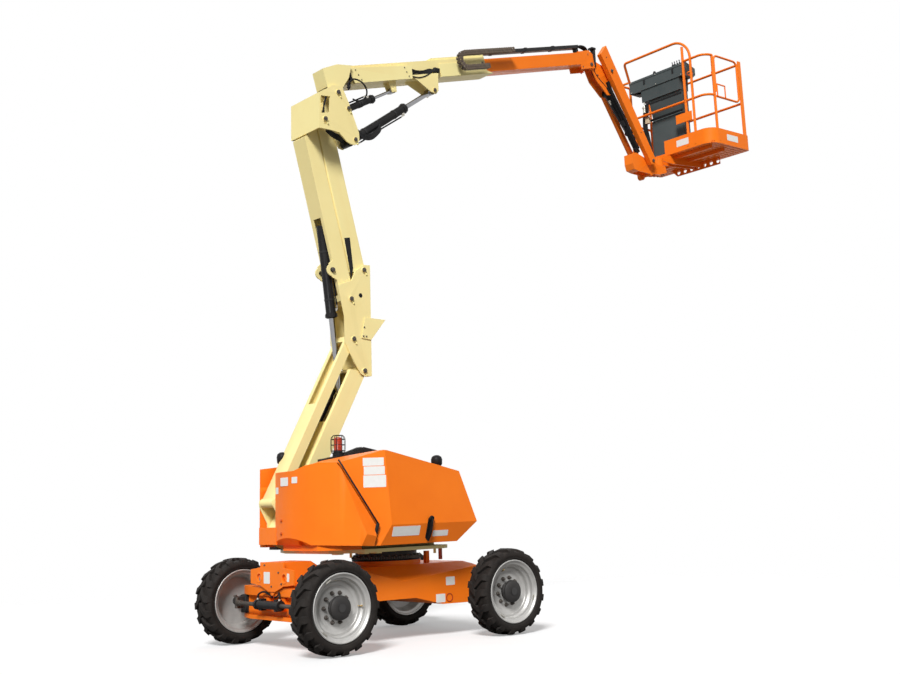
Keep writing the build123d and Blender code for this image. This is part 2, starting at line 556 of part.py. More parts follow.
UPRIGHT_OUTLINE = [
    (238.0, 365.0), (158.0, 363.0), (55.0, 288.0), (11.0, 189.0), (-141.0, 132.0), (-133.0, 55.0), (-79.0, -180.0),
    (-75.0, -440.0), (30.0, -636.0), (103.0, -744.0), (170.0, -776.0), (238.0, -766.0),
]
with BuildPart() as upright:
    for near in (FORK_NEAR - PLATE, FORK_FAR):
        slab([(KNEE_HIGH[0] + x, KNEE_HIGH[1] + z) for x, z in UPRIGHT_OUTLINE], near, near + PLATE)
    for centre in (KNEE_LOW, KNEE_LINK, KNEE_HIGH, KNEE_HIGH_LINK):
        disc(centre, FORK_NEAR - PLATE - 10, FORK_FAR + PLATE + 10, PIN_RADIUS)
    block(
        KNEE_HIGH[0] + 226, KNEE_HIGH[0] + 238, FORK_NEAR - 1, FORK_FAR + 1,
        KNEE_HIGH[1] - 560, KNEE_HIGH[1] + 120,
    )
save(upright.part, "upright")

with BuildPart() as mid_arm:
    hollow_arm(
        KNEE_HIGH, MID_ANGLE, [(0.0, 99.0), (MID_LENGTH - 110, 114.0), (MID_LENGTH - 40, -45.0), (0.0, -60.0)],
        ARM_NEAR, ARM_FAR, WALL,
    )
    slab(
        outline_along(KNEE_HIGH, MID_ANGLE, [(MID_LENGTH - 220, 60.0), (MID_LENGTH, 48.0), (MID_LENGTH, -45.0), (MID_LENGTH - 220, -48.0)]),
        ARM_NEAR, ARM_FAR,
    )
    arm_pin_ends((KNEE_HIGH, RISER_PIN), ARM_NEAR, ARM_FAR, BOSS_RADIUS)
    slot(KNEE_HIGH, MID_ANGLE, 60.0, 860.0, -200.0, 200.0, 66.0)
    for near in (ARM_NEAR, ARM_FAR - PLATE):
        disc(TRUNNION, near, near + PLATE, 62.0)
        slab(
            outline_along(KNEE_HIGH, MID_ANGLE, [(180.0, 60.0), (250.0, 150.0), (390.0, 150.0), (440.0, 60.0)]),
            near, near + PLATE,
        )
        disc(TRUNNION, near - 1, near + PLATE + 1, PIN_RADIUS + RUNNING_GAP, Mode.SUBTRACT)
save(mid_arm.part, "mid_arm")

with BuildPart() as mid_link:
    hollow_arm(
        KNEE_HIGH_LINK, MID_ANGLE, [(0.0, 150.0), (MID_LENGTH - 100, 163.0), (MID_LENGTH, -21.0), (0.0, -34.0)],
        ARM_NEAR, ARM_FAR, WALL,
    )
    arm_pin_ends((KNEE_HIGH_LINK, BOOM_PIN), ARM_NEAR, ARM_FAR, BOSS_RADIUS)
    slot(KNEE_HIGH_LINK, MID_ANGLE, 60.0, 900.0, -200.0, 200.0, 66.0)
save(mid_link.part, "mid_link")

CYLINDER_PLANE = Plane(
    (TRUNNION[0], TOWER_Y, TRUNNION[1]),
    z_dir=(TOWER_EYE[0] - TRUNNION[0], 0, TOWER_EYE[1] - TRUNNION[1]),
)


def point_between(start, end, run):
    """Point a given run from one (x, z) point towards another."""
    length = math.dist(start, end)
    return (start[0] + (end[0] - start[0]) * run / length, start[1] + (end[1] - start[1]) * run / length)


def lay(point, y):
    return (point[0], y, point[1])


def barrel(start, end, back, front, y, radius, bore):
    """Cylinder barrel on the line between two pins, from a run behind the first to a run past it."""
    rod(lay(point_between(start, end, -back), y), lay(point_between(start, end, front), y), radius)
    rod(lay(point_between(start, end, front - 45), y), lay(point_between(start, end, front), y), radius + 6)
    rod(
        lay(point_between(start, end, 90.0 - back), y), lay(point_between(start, end, front + 1), y),
        bore, Mode.SUBTRACT,
    )


def ram(start, end, overlap, y, radius, eye_half, eye_radius):
    """Chrome rod from inside a barrel to the eye at the second pin."""
    length = math.dist(start, end)
    rod(lay(point_between(start, end, overlap), y), lay(end, y), radius)
    disc(end, y - eye_half, y + eye_half, eye_radius)
    disc(end, y - eye_half - 1, y + eye_half + 1, PIN_RADIUS - 5 + RUNNING_GAP, Mode.SUBTRACT)


with BuildPart() as tower_barrel:
    barrel(TRUNNION, TOWER_EYE, 466.0, 465.0, TOWER_Y, 50.0, 28.0 + RUNNING_GAP)
    disc(TRUNNION, ARM_NEAR - 12, ARM_FAR + 12, PIN_RADIUS)
    rod(
        lay(point_between(TRUNNION, TOWER_EYE, -376.0), TOWER_Y), lay(point_between(TRUNNION, TOWER_EYE, 466.0), TOWER_Y),
        28.0 + RUNNING_GAP, Mode.SUBTRACT,
    )
save(tower_barrel.part, "tower_barrel")

with BuildPart() as tower_ram:
    ram(TRUNNION, TOWER_EYE, 300.0, TOWER_Y, 28.0, 50.0, 40.0)
save(tower_ram.part, "tower_ram")

# ---------------------------------------------------------------- riser
RISER_OUTLINE = [
    (-227.0, -412.0), (-227.0, -42.0), (-110.0, 30.0), (-60.0, 66.0), (20.0, 74.0), (66.0, 40.0), (131.0, -88.0),
    (251.0, -390.0), (252.0, -470.0), (205.0, -520.0), (150.0, -520.0), (98.0, -498.0), (10.0, -420.0), (-95.0, -412.0),
]
RIB_OUTLINE = [
    (-40.0, -60.0), (-40.0, 40.0), (20.0, 60.0), (60.0, 40.0), (131.0, -88.0), (245.0, -390.0), (250.0, -470.0),
    (205.0, -515.0), (150.0, -505.0), (40.0, -300.0),
]
with BuildPart() as riser:
    for near, far in ((RISER_NEAR, RISER_NEAR + PLATE), (RISER_FAR - PLATE, RISER_FAR)):
        slab([(BOOM_PIN[0] + x, BOOM_PIN[1] + z) for x, z in RISER_OUTLINE], near, far)
    slab([(BOOM_PIN[0] + x, BOOM_PIN[1] + z) for x, z in RIB_OUTLINE], RIB_NEAR, RIB_FAR)
    block(
        BOOM_PIN[0] - 227, BOOM_PIN[0] - 215, RISER_NEAR + 1, RISER_FAR - 1,
        BOOM_PIN[1] - 412, BOOM_PIN[1] - 42,
    )
    slab(
        [(BOOM_PIN[0] + x, BOOM_PIN[1] + z) for x, z in ((-206, -72), (-94, -60), (-104, -230), (-206, -256))],
        RISER_NEAR - 1, RISER_NEAR + PLATE + 1, Mode.SUBTRACT,
    )
    disc((BOOM_PIN[0] - 156, BOOM_PIN[1] - 348), RISER_NEAR - 1, RISER_NEAR + PLATE + 1, 17.0, Mode.SUBTRACT)
    for centre in (RISER_PIN, BOOM_PIN):
        disc(centre, RISER_NEAR - 10, RISER_FAR + 10, PIN_RADIUS)
    for centre in (LIFT_BASE, MASTER_BASE):
        disc(centre, RISER_NEAR - 10, RIB_FAR, PIN_RADIUS - 5)
save(riser.part, "riser")

# ---------------------------------------------------------------- main boom
YOKE_TABLE = [(RISER_NEAR + PLATE + 8, RISER_NEAR + PLATE + 24), (244.0, 260.0), (525.0, 541.0)]
HEAD_NEAR = YOKE_TABLE[0][0]
HEAD_FAR = YOKE_TABLE[2][1]
BOOM_START = 20.0
BOOM_NEAR = BOOM_Y - BOOM_HALF
BOOM_FAR = BOOM_Y + BOOM_HALF


def boom_outline(table):
    return outline_along(BOOM_PIN, BOOM_ANGLE, table)


HEAD_TOP = [(BOOM_REAR, 264.0), (92.0, 296.0), (268.0, BOOM_HIGH - 18)]
with BuildPart() as boom_base:
    slab(
        boom_outline([(BOOM_START, BOOM_LOW), (BOOM_START, 290.0), (92.0, 299.0), (360.0, BOOM_HIGH),
                      (BOOM_LENGTH - 90, BOOM_HIGH), (BOOM_LENGTH - 90, 135.0), (BOOM_LENGTH, BOOM_LOW)]),
        BOOM_NEAR, BOOM_FAR,
    )
    slab(
        boom_outline([(BOOM_REAR, 72.0), *HEAD_TOP, (197.0, 146.0), (91.0, 48.0), (62.0, -30.0), (-50.0, -30.0)]),
        HEAD_NEAR, HEAD_NEAR + PLATE,
    )
    slab(
        boom_outline([(BOOM_REAR, 72.0), *HEAD_TOP, (268.0, BOOM_HIGH - 32), (92.0, 282.0),
                      (BOOM_REAR + 12, 250.0), (BOOM_REAR + 12, 74.0)]),
        HEAD_NEAR + 1, YOKE_TABLE[1][1],
    )
    slab(
        boom_outline([(290.0, BOOM_LOW), (238.0, 262.0), (1090.0, 240.0), (1060.0, BOOM_LOW)]),
        HEAD_NEAR + 36, HEAD_NEAR + 42,
    )
    for low in (BOOM_LOW, 230.0):
        slab(
            boom_outline([(300.0, low), (300.0, low + 6), (1060.0, low + 6), (1060.0, low)]),
            HEAD_NEAR + 40, BOOM_NEAR + 1,
        )
    slab(
        boom_outline([(180.0, BOOM_LOW + WALL), (180.0, BOOM_HIGH - WALL), (BOOM_LENGTH + 1, BOOM_HIGH - WALL),
                      (BOOM_LENGTH + 1, BOOM_LOW + WALL)]),
        BOOM_NEAR + WALL, BOOM_FAR - WALL, Mode.SUBTRACT,
    )
    slab(
        boom_outline([(-50.0, -30.0), (BOOM_REAR + 1, 74.0), (BOOM_REAR + 1, 250.0), (92.0, 282.0), (260.0, 110.0), (62.0, -30.0)]),
        YOKE_TABLE[1][0], YOKE_TABLE[1][1],
    )
    slab(
        boom_outline([(-45.0, -30.0), (-45.0, 40.0), (150.0, 120.0), (290.0, 120.0), (62.0, -30.0)]),
        YOKE_TABLE[2][0], YOKE_TABLE[2][1],
    )
    slab(
        boom_outline([(150.0, BOOM_LOW + 10), (150.0, 120.0), (290.0, 120.0), (290.0, BOOM_LOW + 10)]),
        BOOM_FAR - 1, YOKE_TABLE[2][0] + 1,
    )
    for near, far in YOKE_TABLE:
        disc(BOOM_PIN, near, far, BOSS_RADIUS)
        disc(BOOM_PIN, near - 1, far + 1, PIN_RADIUS + RUNNING_GAP, Mode.SUBTRACT)
    for near, top in ((105.0, 40.0), (250.0, 5.0)):
        slab(boom_outline([(1060.0, BOOM_LOW + top), (1270.0, -60.0), (1340.0, -95.0), (1385.0, -60.0), (1440.0, BOOM_LOW + top)]),
             near, near + 14)
    slab(boom_outline([(1060.0, BOOM_LOW + 20), (1060.0, BOOM_LOW + 40), (1440.0, BOOM_LOW + 40), (1440.0, BOOM_LOW + 20)]),
         105.0, BOOM_NEAR + 1)
    for near, far in ((95.0, 132.0), (248.0, 274.0)):
        disc(LIFT_EYE, near, far, PIN_RADIUS - 5)
    for near in (BAY_Y - 48, BAY_Y + 34):
        slab(boom_outline([(760.0, BOOM_LOW + 5), (780.0, -25.0), (836.0, -25.0), (860.0, BOOM_LOW + 5)]), near, near + 14)
    for near, far in ((BAY_Y - 52, BAY_Y - 33), (BAY_Y + 33, BAY_Y + 52)):
        disc(MASTER_EYE, near, far, PIN_RADIUS - 5)
    for near, far in ((BOOM_NEAR + WALL - 1, BOOM_Y - FLY_HALF - SEAT), (BOOM_Y + FLY_HALF + SEAT, BOOM_FAR - WALL + 1)):
        slab(boom_outline([(2080.0, 140.0), (2080.0, 250.0), (2190.0, 250.0), (2190.0, 140.0)]), near, far)
    slab(boom_outline([(2080.0, BOOM_LOW + 5), (2080.0, FLY_LOW - SEAT), (2190.0, FLY_LOW - SEAT), (2190.0, BOOM_LOW + 5)]),
         BOOM_Y - 90, BOOM_Y + 90)
save(boom_base.part, "boom_base")

FLY_NEAR = BOOM_Y - FLY_HALF
FLY_FAR = BOOM_Y + FLY_HALF
with BuildPart() as boom_fly:
    slab(
        boom_outline([(FLY_REAR, FLY_LOW), (FLY_REAR, FLY_HIGH), (FLY_END, FLY_HIGH), (FLY_END, FLY_LOW)]),
        FLY_NEAR, FLY_FAR,
    )
    slab(
        boom_outline([(FLY_REAR - 1, FLY_LOW + WALL), (FLY_REAR - 1, FLY_HIGH - WALL), (FLY_END - 60, FLY_HIGH - WALL),
                      (FLY_END - 60, FLY_LOW + WALL)]),
        FLY_NEAR + WALL, FLY_FAR - WALL, Mode.SUBTRACT,
    )
    for near in (FLY_NEAR, FLY_FAR - 14):
        slab(boom_outline([(3822.0, 60.0), (3822.0, 285.0), (4020.0, 290.0), (4075.0, 240.0), (4060.0, 60.0)]), near, near + 14)
    disc(LEVEL_PIN, FLY_NEAR - 2, FLY_FAR + 2, PIN_RADIUS)
save(boom_fly.part, "boom_fly")

with BuildPart() as carrier_tube:
    slab(
        boom_outline([(2050.0, 330.0), (2050.0, 372.0), (3870.0, 372.0), (3870.0, 330.0)]),
        FLY_NEAR + 10, FLY_NEAR + 90,
    )
    slab(boom_outline([(3820.0, FLY_HIGH), (3820.0, 331.0), (3860.0, 331.0), (3860.0, FLY_HIGH)]), FLY_NEAR + 20, FLY_NEAR + 80)
save(carrier_tube.part, "carrier_tube")

with BuildPart() as cable_carrier:
    slab(
        boom_outline([(1440.0, BOOM_HIGH + 1), (1440.0, 322.0), (2230.0, 322.0), (2230.0, BOOM_HIGH + 1)]),
        BOOM_NEAR + 20, BOOM_NEAR + 110,
    )
save(cable_carrier.part, "cable_carrier")

with BuildPart() as lift_barrel:
    barrel(LIFT_BASE, LIFT_EYE, 0.0, 910.0, BAY_Y, 46.0, 26.0 + RUNNING_GAP)
    disc(LIFT_BASE, BAY_Y - 60, BAY_Y + 60, 46.0)
    disc(LIFT_BASE, BAY_Y - 61, BAY_Y + 61, PIN_RADIUS - 5 + RUNNING_GAP, Mode.SUBTRACT)
save(lift_barrel.part, "lift_barrel")

with BuildPart() as lift_ram:
    ram(LIFT_BASE, LIFT_EYE, 400.0, BAY_Y, 26.0, 48.0, 40.0)
save(lift_ram.part, "lift_ram")

with BuildPart() as master_barrel:
    barrel(MASTER_BASE, MASTER_EYE, 0.0, 470.0, BAY_Y, 36.0, 16.0 + RUNNING_GAP)
    disc(MASTER_BASE, BAY_Y - 36, BAY_Y + 36, 38.0)
    disc(MASTER_BASE, BAY_Y - 37, BAY_Y + 37, PIN_RADIUS - 5 + RUNNING_GAP, Mode.SUBTRACT)
save(master_barrel.part, "master_barrel")

with BuildPart() as master_ram:
    ram(MASTER_BASE, MASTER_EYE, 200.0, BAY_Y, 16.0, 28.0, 34.0)
save(master_ram.part, "master_ram")

# ---------------------------------------------------------------- jib
ARM_SIDE = [(JIB_ARM_Y - 60, JIB_ARM_Y + 60)]
KNUCKLE_FAR = JIB_LINK_Y - SIDE_GAP - 2
with BuildPart() as jib_knuckle:
    for near in (FLY_NEAR + 20, KNUCKLE_FAR - 14):
        slab(
            [LEVEL_PIN, (LEVEL_PIN[0] - 20, LEVEL_PIN[1] + 40), (LEVEL_PIN[0] + 60, LEVEL_PIN[1] + 70),
             (JIB_PIN[0] + 30, JIB_PIN[1] + 60), (JIB_BASE[0] + 50, JIB_BASE[1] - 30), (JIB_BASE[0] - 60, JIB_BASE[1] - 50),
             (LEVEL_PIN[0] + 90, LEVEL_PIN[1] - 180)],
            near, near + 14,
        )
        disc(LEVEL_PIN, near, near + 14, BOSS_RADIUS - 5)
        disc(LEVEL_PIN, near - 1, near + 15, PIN_RADIUS + RUNNING_GAP, Mode.SUBTRACT)
    disc(JIB_BASE, FLY_NEAR + 20, KNUCKLE_FAR, PIN_RADIUS - 5)
    disc(JIB_PIN, JIB_ARM_Y - 66, FLY_NEAR + 34, PIN_RADIUS - 5)
    disc(JIB_LINK_PIN, KNUCKLE_FAR - 14, JIB_LINK_Y + 61, PIN_RADIUS - 5)
save(jib_knuckle.part, "jib_knuckle")

with BuildPart() as jib_arm:
    hollow_arm(
        JIB_PIN, JIB_ANGLE, [(-310.0, 110.0), (JIB_LENGTH + 30, 60.0), (JIB_LENGTH + 30, -50.0), (-250.0, -50.0)],
        JIB_ARM_Y - 60, JIB_ARM_Y + 5, WALL,
    )
    for centre in (JIB_PIN, HAND_PIN):
        disc(centre, JIB_ARM_Y - 60, JIB_ARM_Y + 5, 46.0)
        disc(centre, JIB_ARM_Y - 61, JIB_ARM_Y + 6, PIN_RADIUS - 5 + RUNNING_GAP, Mode.SUBTRACT)
    disc(JIB_EYE, JIB_ARM_Y, JIB_BAY_Y - 40, PIN_RADIUS - 5)
save(jib_arm.part, "jib_arm")

with BuildPart() as jib_link:
    hollow_arm(
        JIB_LINK_PIN, JIB_ANGLE, [(0.0, 30.0), (JIB_LENGTH, 30.0), (JIB_LENGTH, -27.0), (0.0, -27.0)],
        JIB_LINK_Y, JIB_LINK_Y + 55, WALL,
    )
    for centre in (JIB_LINK_PIN, HAND_LINK_PIN):
        disc(centre, JIB_LINK_Y, JIB_LINK_Y + 55, 42.0)
        disc(centre, JIB_LINK_Y - 1, JIB_LINK_Y + 56, PIN_RADIUS - 5 + RUNNING_GAP, Mode.SUBTRACT)
save(jib_link.part, "jib_link")

with BuildPart() as jib_barrel:
    barrel(JIB_BASE, JIB_EYE, 0.0, 600.0, JIB_BAY_Y, 44.0, 20.0 + RUNNING_GAP)
    disc(JIB_BASE, JIB_BAY_Y - 44, JIB_BAY_Y + 44, 44.0)
    disc(JIB_BASE, JIB_BAY_Y - 46, JIB_BAY_Y + 46, PIN_RADIUS - 5 + RUNNING_GAP, Mode.SUBTRACT)
save(jib_barrel.part, "jib_barrel")

with BuildPart() as jib_ram:
    ram(JIB_BASE, JIB_EYE, 105.0, JIB_BAY_Y, 20.0, 34.0, 36.0)
save(jib_ram.part, "jib_ram")

# ---------------------------------------------------------------- platform
SUPPORT_TOP = PLATFORM_Z - 40
SUPPORT_NEAR = JIB_ARM_Y + 20
SUPPORT_FAR = JIB_LINK_Y - SIDE_GAP - 2
SUPPORT_OUTLINE = [
    (4212.0, 5300.0), (4212.0, 5425.0), (4280.0, 5448.0), (HAND_PIN[0] - 50, HAND_PIN[1] + 45),
    (HAND_PIN[0] + 90, HAND_PIN[1] + 60), (ROTATOR_X - 100, SUPPORT_TOP - 152), (ROTATOR_X + 40, SUPPORT_TOP - 152),
    (ROTATOR_X + 60, SUPPORT_TOP - 235), (4700.0, 5224.0), (4532.0, 5205.0), (4320.0, 5212.0), (4235.0, 5228.0),
]
with BuildPart() as platform_support:
    for near in (SUPPORT_NEAR, SUPPORT_FAR - 12):
        slab(SUPPORT_OUTLINE, near, near + 12)
    slab(
        [(4212.0, 5300.0), (4212.0, 5425.0), (4220.0, 5425.0), (4220.0, 5303.0), (4240.0, 5236.0),
         (4320.0, 5220.0), (4320.0, 5212.0), (4235.0, 5228.0)],
        SUPPORT_NEAR, SUPPORT_FAR,
    )
    disc(HAND_PIN, JIB_ARM_Y - 66, SUPPORT_FAR, PIN_RADIUS - 5)
    disc(HAND_LINK_PIN, SUPPORT_NEAR, JIB_LINK_Y + 61, PIN_RADIUS - 5)
    rod((ROTATOR_X, BOOM_Y, SUPPORT_TOP - 250), (ROTATOR_X, BOOM_Y, SUPPORT_TOP - 150), 95.0)
save(platform_support.part, "platform_support")

PLATFORM_LOW_Y = BOOM_Y - PLATFORM_WIDTH / 2
PLATFORM_HIGH_Y = BOOM_Y + PLATFORM_WIDTH / 2
PLATFORM_FAR_X = PLATFORM_NEAR_X + PLATFORM_DEPTH
CORNER = 154.0
TOE_HEIGHT = 200.0
RAIL_TOP = PLATFORM_Z + RAIL_HEIGHT
RAIL_MID = PLATFORM_Z + 650.0
LOOP_TOP = RAIL_TOP + 292.0
X_NEAR = PLATFORM_NEAR_X + RAIL_IN
X_FAR = PLATFORM_FAR_X - RAIL_IN
Y_NEAR = PLATFORM_LOW_Y + RAIL_IN
Y_FAR = PLATFORM_HIGH_Y - RAIL_IN
FLOOR_TOP = PLATFORM_Z + 30.0
ARM_TABLE = [(BOOM_Y - 60, BOOM_Y - 48), (BOOM_Y + 48, BOOM_Y + 60)]
HOLE_PITCH = 112.0
with BuildPart() as platform_floor:
    for low, inset in ((PLATFORM_Z, 0.0), (FLOOR_TOP, WALL)):
        with BuildSketch(Plane.XY.offset(low)) as outline:
            with Locations(((PLATFORM_NEAR_X + PLATFORM_FAR_X) / 2, BOOM_Y)):
                Rectangle(PLATFORM_DEPTH - 2 * inset, PLATFORM_WIDTH - 2 * inset)
            fillet(outline.vertices().sort_by(Axis.X)[:2], CORNER - inset)
            fillet(outline.vertices().sort_by(Axis.X)[-2:], 40.0 - inset)
        extrude(outline.sketch, amount=TOE_HEIGHT, mode=Mode.SUBTRACT if inset else Mode.ADD)
    block(PLATFORM_NEAR_X - 1, PLATFORM_NEAR_X + WALL + 1, BOOM_Y + 20, BOOM_Y + 480, FLOOR_TOP, PLATFORM_Z + TOE_HEIGHT + 1, Mode.SUBTRACT)
    rod((ROTATOR_X, BOOM_Y, SUPPORT_TOP - 150 + SEAT), (ROTATOR_X, BOOM_Y, SUPPORT_TOP - 40), 80.0)
    for near, far in ARM_TABLE:
        slab(
            [(ROTATOR_X - 60, SUPPORT_TOP - 60), (ROTATOR_X - 60, SUPPORT_TOP - 20), (PLATFORM_NEAR_X + 60, PLATFORM_Z + 1),
             (PLATFORM_FAR_X - 60, PLATFORM_Z + 1), (PLATFORM_FAR_X - 60, PLATFORM_Z - 70), (PLATFORM_NEAR_X + 40, PLATFORM_Z - 120)],
            near, far,
        )
    cross_slab(
        [(-90.0, PLATFORM_Z + 1), (-90.0, PLATFORM_Z - 95), (640.0, PLATFORM_Z - 95), (740.0, PLATFORM_Z + 1)],
        5614.0, 5626.0,
    )
    for count in range(-3, 4):
        y = BOOM_Y + 8 + count * HOLE_PITCH
        rod((5610.0, y, PLATFORM_Z - 47), (5630.0, y, PLATFORM_Z - 47), 29.0, Mode.SUBTRACT)
save(platform_floor.part, "platform_floor")

POST_TABLE = [
    (X_FAR, 470.0, RAIL_TOP), (X_FAR - 130, Y_FAR, RAIL_TOP), (X_NEAR + 190, Y_FAR, RAIL_TOP),
    (X_NEAR, -100.0, RAIL_TOP + 200), (X_NEAR, 790.0, RAIL_MID), (GATE_REAR, Y_NEAR, RAIL_TOP),
]
LEG_Y = -222.0
CONSOLE_NEAR = -70.0
CONSOLE_FAR = 870.0
with BuildPart() as platform_rails:
    bent_tube(
        [(X_FAR, Y_NEAR, RAIL_MID), (X_FAR, Y_FAR, RAIL_MID), (X_NEAR, Y_FAR, RAIL_MID), (X_NEAR, Y_NEAR, RAIL_MID),
         (GATE_REAR, Y_NEAR, RAIL_MID)],
        RAIL_RADIUS, RAIL_BENDS,
    )
    bent_tube(
        [(X_FAR, Y_NEAR, RAIL_TOP), (X_FAR, Y_FAR, RAIL_TOP), (X_NEAR, Y_FAR, RAIL_TOP),
         (X_NEAR, CONSOLE_FAR + 6, RAIL_TOP)],
        RAIL_RADIUS, RAIL_BENDS[:1] + (60.0,),
    )
    bent_tube(
        [(X_NEAR, -98.0, RAIL_TOP), (X_NEAR, Y_NEAR, RAIL_TOP), (GATE_REAR, Y_NEAR, RAIL_TOP)],
        RAIL_RADIUS, RAIL_BENDS[-1],
    )
    bent_tube(
        [(X_NEAR, LEG_Y, FLOOR_TOP + SEAT), (X_NEAR, LEG_Y, LOOP_TOP), (X_NEAR, Y_FAR - 90, LOOP_TOP),
         (X_NEAR + 215, Y_FAR, RAIL_TOP)],
        RAIL_RADIUS + 1, (280.0, 55.0),
    )
    for x, y, top in POST_TABLE:
        rod((x, y, FLOOR_TOP + SEAT), (x, y, top), RAIL_RADIUS + 1.5)
    block(X_FAR - 48, X_FAR + 7, Y_NEAR - 8, Y_NEAR + 8, FLOOR_TOP + SEAT, RAIL_TOP + 30)
save(platform_rails.part, "platform_rails")

with BuildPart() as gate:
    bent_tube(
        [(GATE_HINGE_X, Y_NEAR, RAIL_MID - 10), (X_FAR - 78, Y_NEAR, RAIL_MID - 10), (X_FAR - 78, Y_NEAR, RAIL_TOP + 6),
         (GATE_HINGE_X, Y_NEAR, RAIL_TOP + 6), (GATE_HINGE_X, Y_NEAR, RAIL_MID + 50)],
        RAIL_RADIUS - 2, 70.0,
    )
save(gate.part, "gate")

CONSOLE_X = X_NEAR + RAIL_RADIUS + 8
with BuildPart() as console:
    slab(
        [(CONSOLE_X, RAIL_TOP - 165), (CONSOLE_X, RAIL_TOP + 5), (CONSOLE_X + 60, RAIL_TOP + 35),
         (CONSOLE_X + 250, RAIL_TOP - 30), (CONSOLE_X + 250, RAIL_TOP - 120), (CONSOLE_X + 200, RAIL_TOP - 165)],
        CONSOLE_NEAR, CONSOLE_FAR,
    )
    slab(
        [(CONSOLE_X + 20, RAIL_TOP - 330), (CONSOLE_X + 12, RAIL_TOP - 164), (CONSOLE_X + 200, RAIL_TOP - 164),
         (CONSOLE_X + 190, RAIL_TOP - 330)],
        CONSOLE_NEAR + 90, CONSOLE_FAR - 190,
    )
save(console.part, "console")

STAND_NEAR = 25.0
STAND_FAR = 580.0
with BuildPart() as console_stand:
    slab(
        [(CONSOLE_X + 60, FLOOR_TOP + SEAT), (CONSOLE_X + 70, RAIL_MID - 90), (CONSOLE_X + 100, RAIL_MID - 60),
         (CONSOLE_X + 40, RAIL_TOP - 330 - SEAT), (CONSOLE_X + 185, RAIL_TOP - 330 - SEAT), (CONSOLE_X + 190, FLOOR_TOP + SEAT)],
        STAND_NEAR, STAND_FAR,
    )
save(console_stand.part, "console_stand")
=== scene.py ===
import json
import math

import bmesh
import bpy
import numpy as np
from bpy.props import FloatProperty, FloatVectorProperty, IntProperty
from mathutils import Matrix

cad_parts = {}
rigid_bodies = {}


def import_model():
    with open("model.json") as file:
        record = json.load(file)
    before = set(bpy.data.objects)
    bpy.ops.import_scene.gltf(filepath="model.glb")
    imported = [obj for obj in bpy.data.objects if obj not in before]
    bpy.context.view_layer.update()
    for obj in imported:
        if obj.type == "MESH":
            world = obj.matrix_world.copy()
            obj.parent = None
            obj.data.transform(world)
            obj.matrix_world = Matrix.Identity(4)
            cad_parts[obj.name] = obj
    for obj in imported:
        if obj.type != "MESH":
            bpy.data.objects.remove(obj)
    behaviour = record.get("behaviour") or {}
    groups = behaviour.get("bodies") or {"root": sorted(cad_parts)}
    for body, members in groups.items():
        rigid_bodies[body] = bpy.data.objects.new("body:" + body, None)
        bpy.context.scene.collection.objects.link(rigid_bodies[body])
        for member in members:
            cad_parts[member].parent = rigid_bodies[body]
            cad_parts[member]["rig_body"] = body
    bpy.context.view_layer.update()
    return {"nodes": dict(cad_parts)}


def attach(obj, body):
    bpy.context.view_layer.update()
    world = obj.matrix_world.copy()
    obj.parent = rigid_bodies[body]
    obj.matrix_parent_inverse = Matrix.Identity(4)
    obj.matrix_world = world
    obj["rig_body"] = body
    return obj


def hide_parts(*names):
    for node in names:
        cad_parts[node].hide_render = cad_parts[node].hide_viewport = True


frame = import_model()

bl_info = {
    "name": "Articulating boom lift",
    "version": (1, 0, 0),
    "blender": (4, 5, 0),
    "location": "3D View > Sidebar > Boom lift",
    "description": "Paint, tyres, hoses, fittings and studio for an articulating boom lift",
    "category": "Object",
}


def polar(origin, length, angle):
    """(x, z) at a length and an angle in degrees from an (x, z) origin."""
    turn = math.radians(angle)
    return (origin[0] + length * math.cos(turn), origin[1] + length * math.sin(turn))


def along(origin, angle, run, rise):
    """(x, z) at (run, rise) in a frame turned by angle degrees about an (x, z) origin."""
    turn = math.radians(angle)
    return (origin[0] + run * math.cos(turn) - rise * math.sin(turn),
            origin[1] + run * math.sin(turn) + rise * math.cos(turn))


def shift(point, dx, dz):
    """(x, z) moved by dx along and dz up."""
    return (point[0] + dx, point[1] + dz)


# Pins of the rest pose are (x, z); angles are in degrees up from +X.
TRACK_HALF = 0.8325
AXLE_X = 0.945
AXLE_Z = 0.3865
TOWER_Y, LOWER_ANGLE, MID_ANGLE, BOOM_ANGLE, JIB_ANGLE = 0.4, 61.07, 103.9, 15.5, -58.0
FOOT = (-0.845, 1.26)
FOOT_LINK = shift(FOOT, 0.125, -0.312)
KNEE_LOW = polar(FOOT, 1.798, LOWER_ANGLE)
KNEE_LINK = shift(KNEE_LOW, 0.125, -0.312)
KNEE_HIGH = shift(KNEE_LOW, -0.023, 0.403)
KNEE_HIGH_LINK = shift(KNEE_HIGH, 0.157, 0.309)
RISER_PIN = polar(KNEE_HIGH, 1.798, MID_ANGLE)
BOOM_PIN = shift(RISER_PIN, 0.157, 0.309)
LIFT_BASE = shift(BOOM_PIN, 0.2, -0.464)
MASTER_BASE = shift(BOOM_PIN, 0.12, -0.146)
LIFT_EYE = along(BOOM_PIN, BOOM_ANGLE, 1.326, -0.052)
MASTER_EYE = along(BOOM_PIN, BOOM_ANGLE, 0.808, 0.002)
TRUNNION = shift(KNEE_HIGH, -0.202, 0.278)
TOWER_EYE = shift(KNEE_LINK, -0.2, -0.26)
LEVEL_PIN = along(BOOM_PIN, BOOM_ANGLE, 4.01, 0.11)
JIB_PIN = shift(LEVEL_PIN, 0.278, -0.05)
JIB_LINK_PIN = shift(JIB_PIN, 0.045, -0.15)
HAND_PIN = polar(JIB_PIN, 1.25, JIB_ANGLE)
HAND_LINK_PIN = shift(HAND_PIN, 0.045, -0.15)
JIB_BASE = shift(JIB_PIN, 0.06, -0.24)
JIB_EYE = along(JIB_PIN, JIB_ANGLE, 0.89, 0.0)
BOOM_Y = 0.27
PLATFORM_Z = 5.545
FLOOR_TOP = 5.575
RAIL_MID, RAIL_TOP = 6.195, 6.735
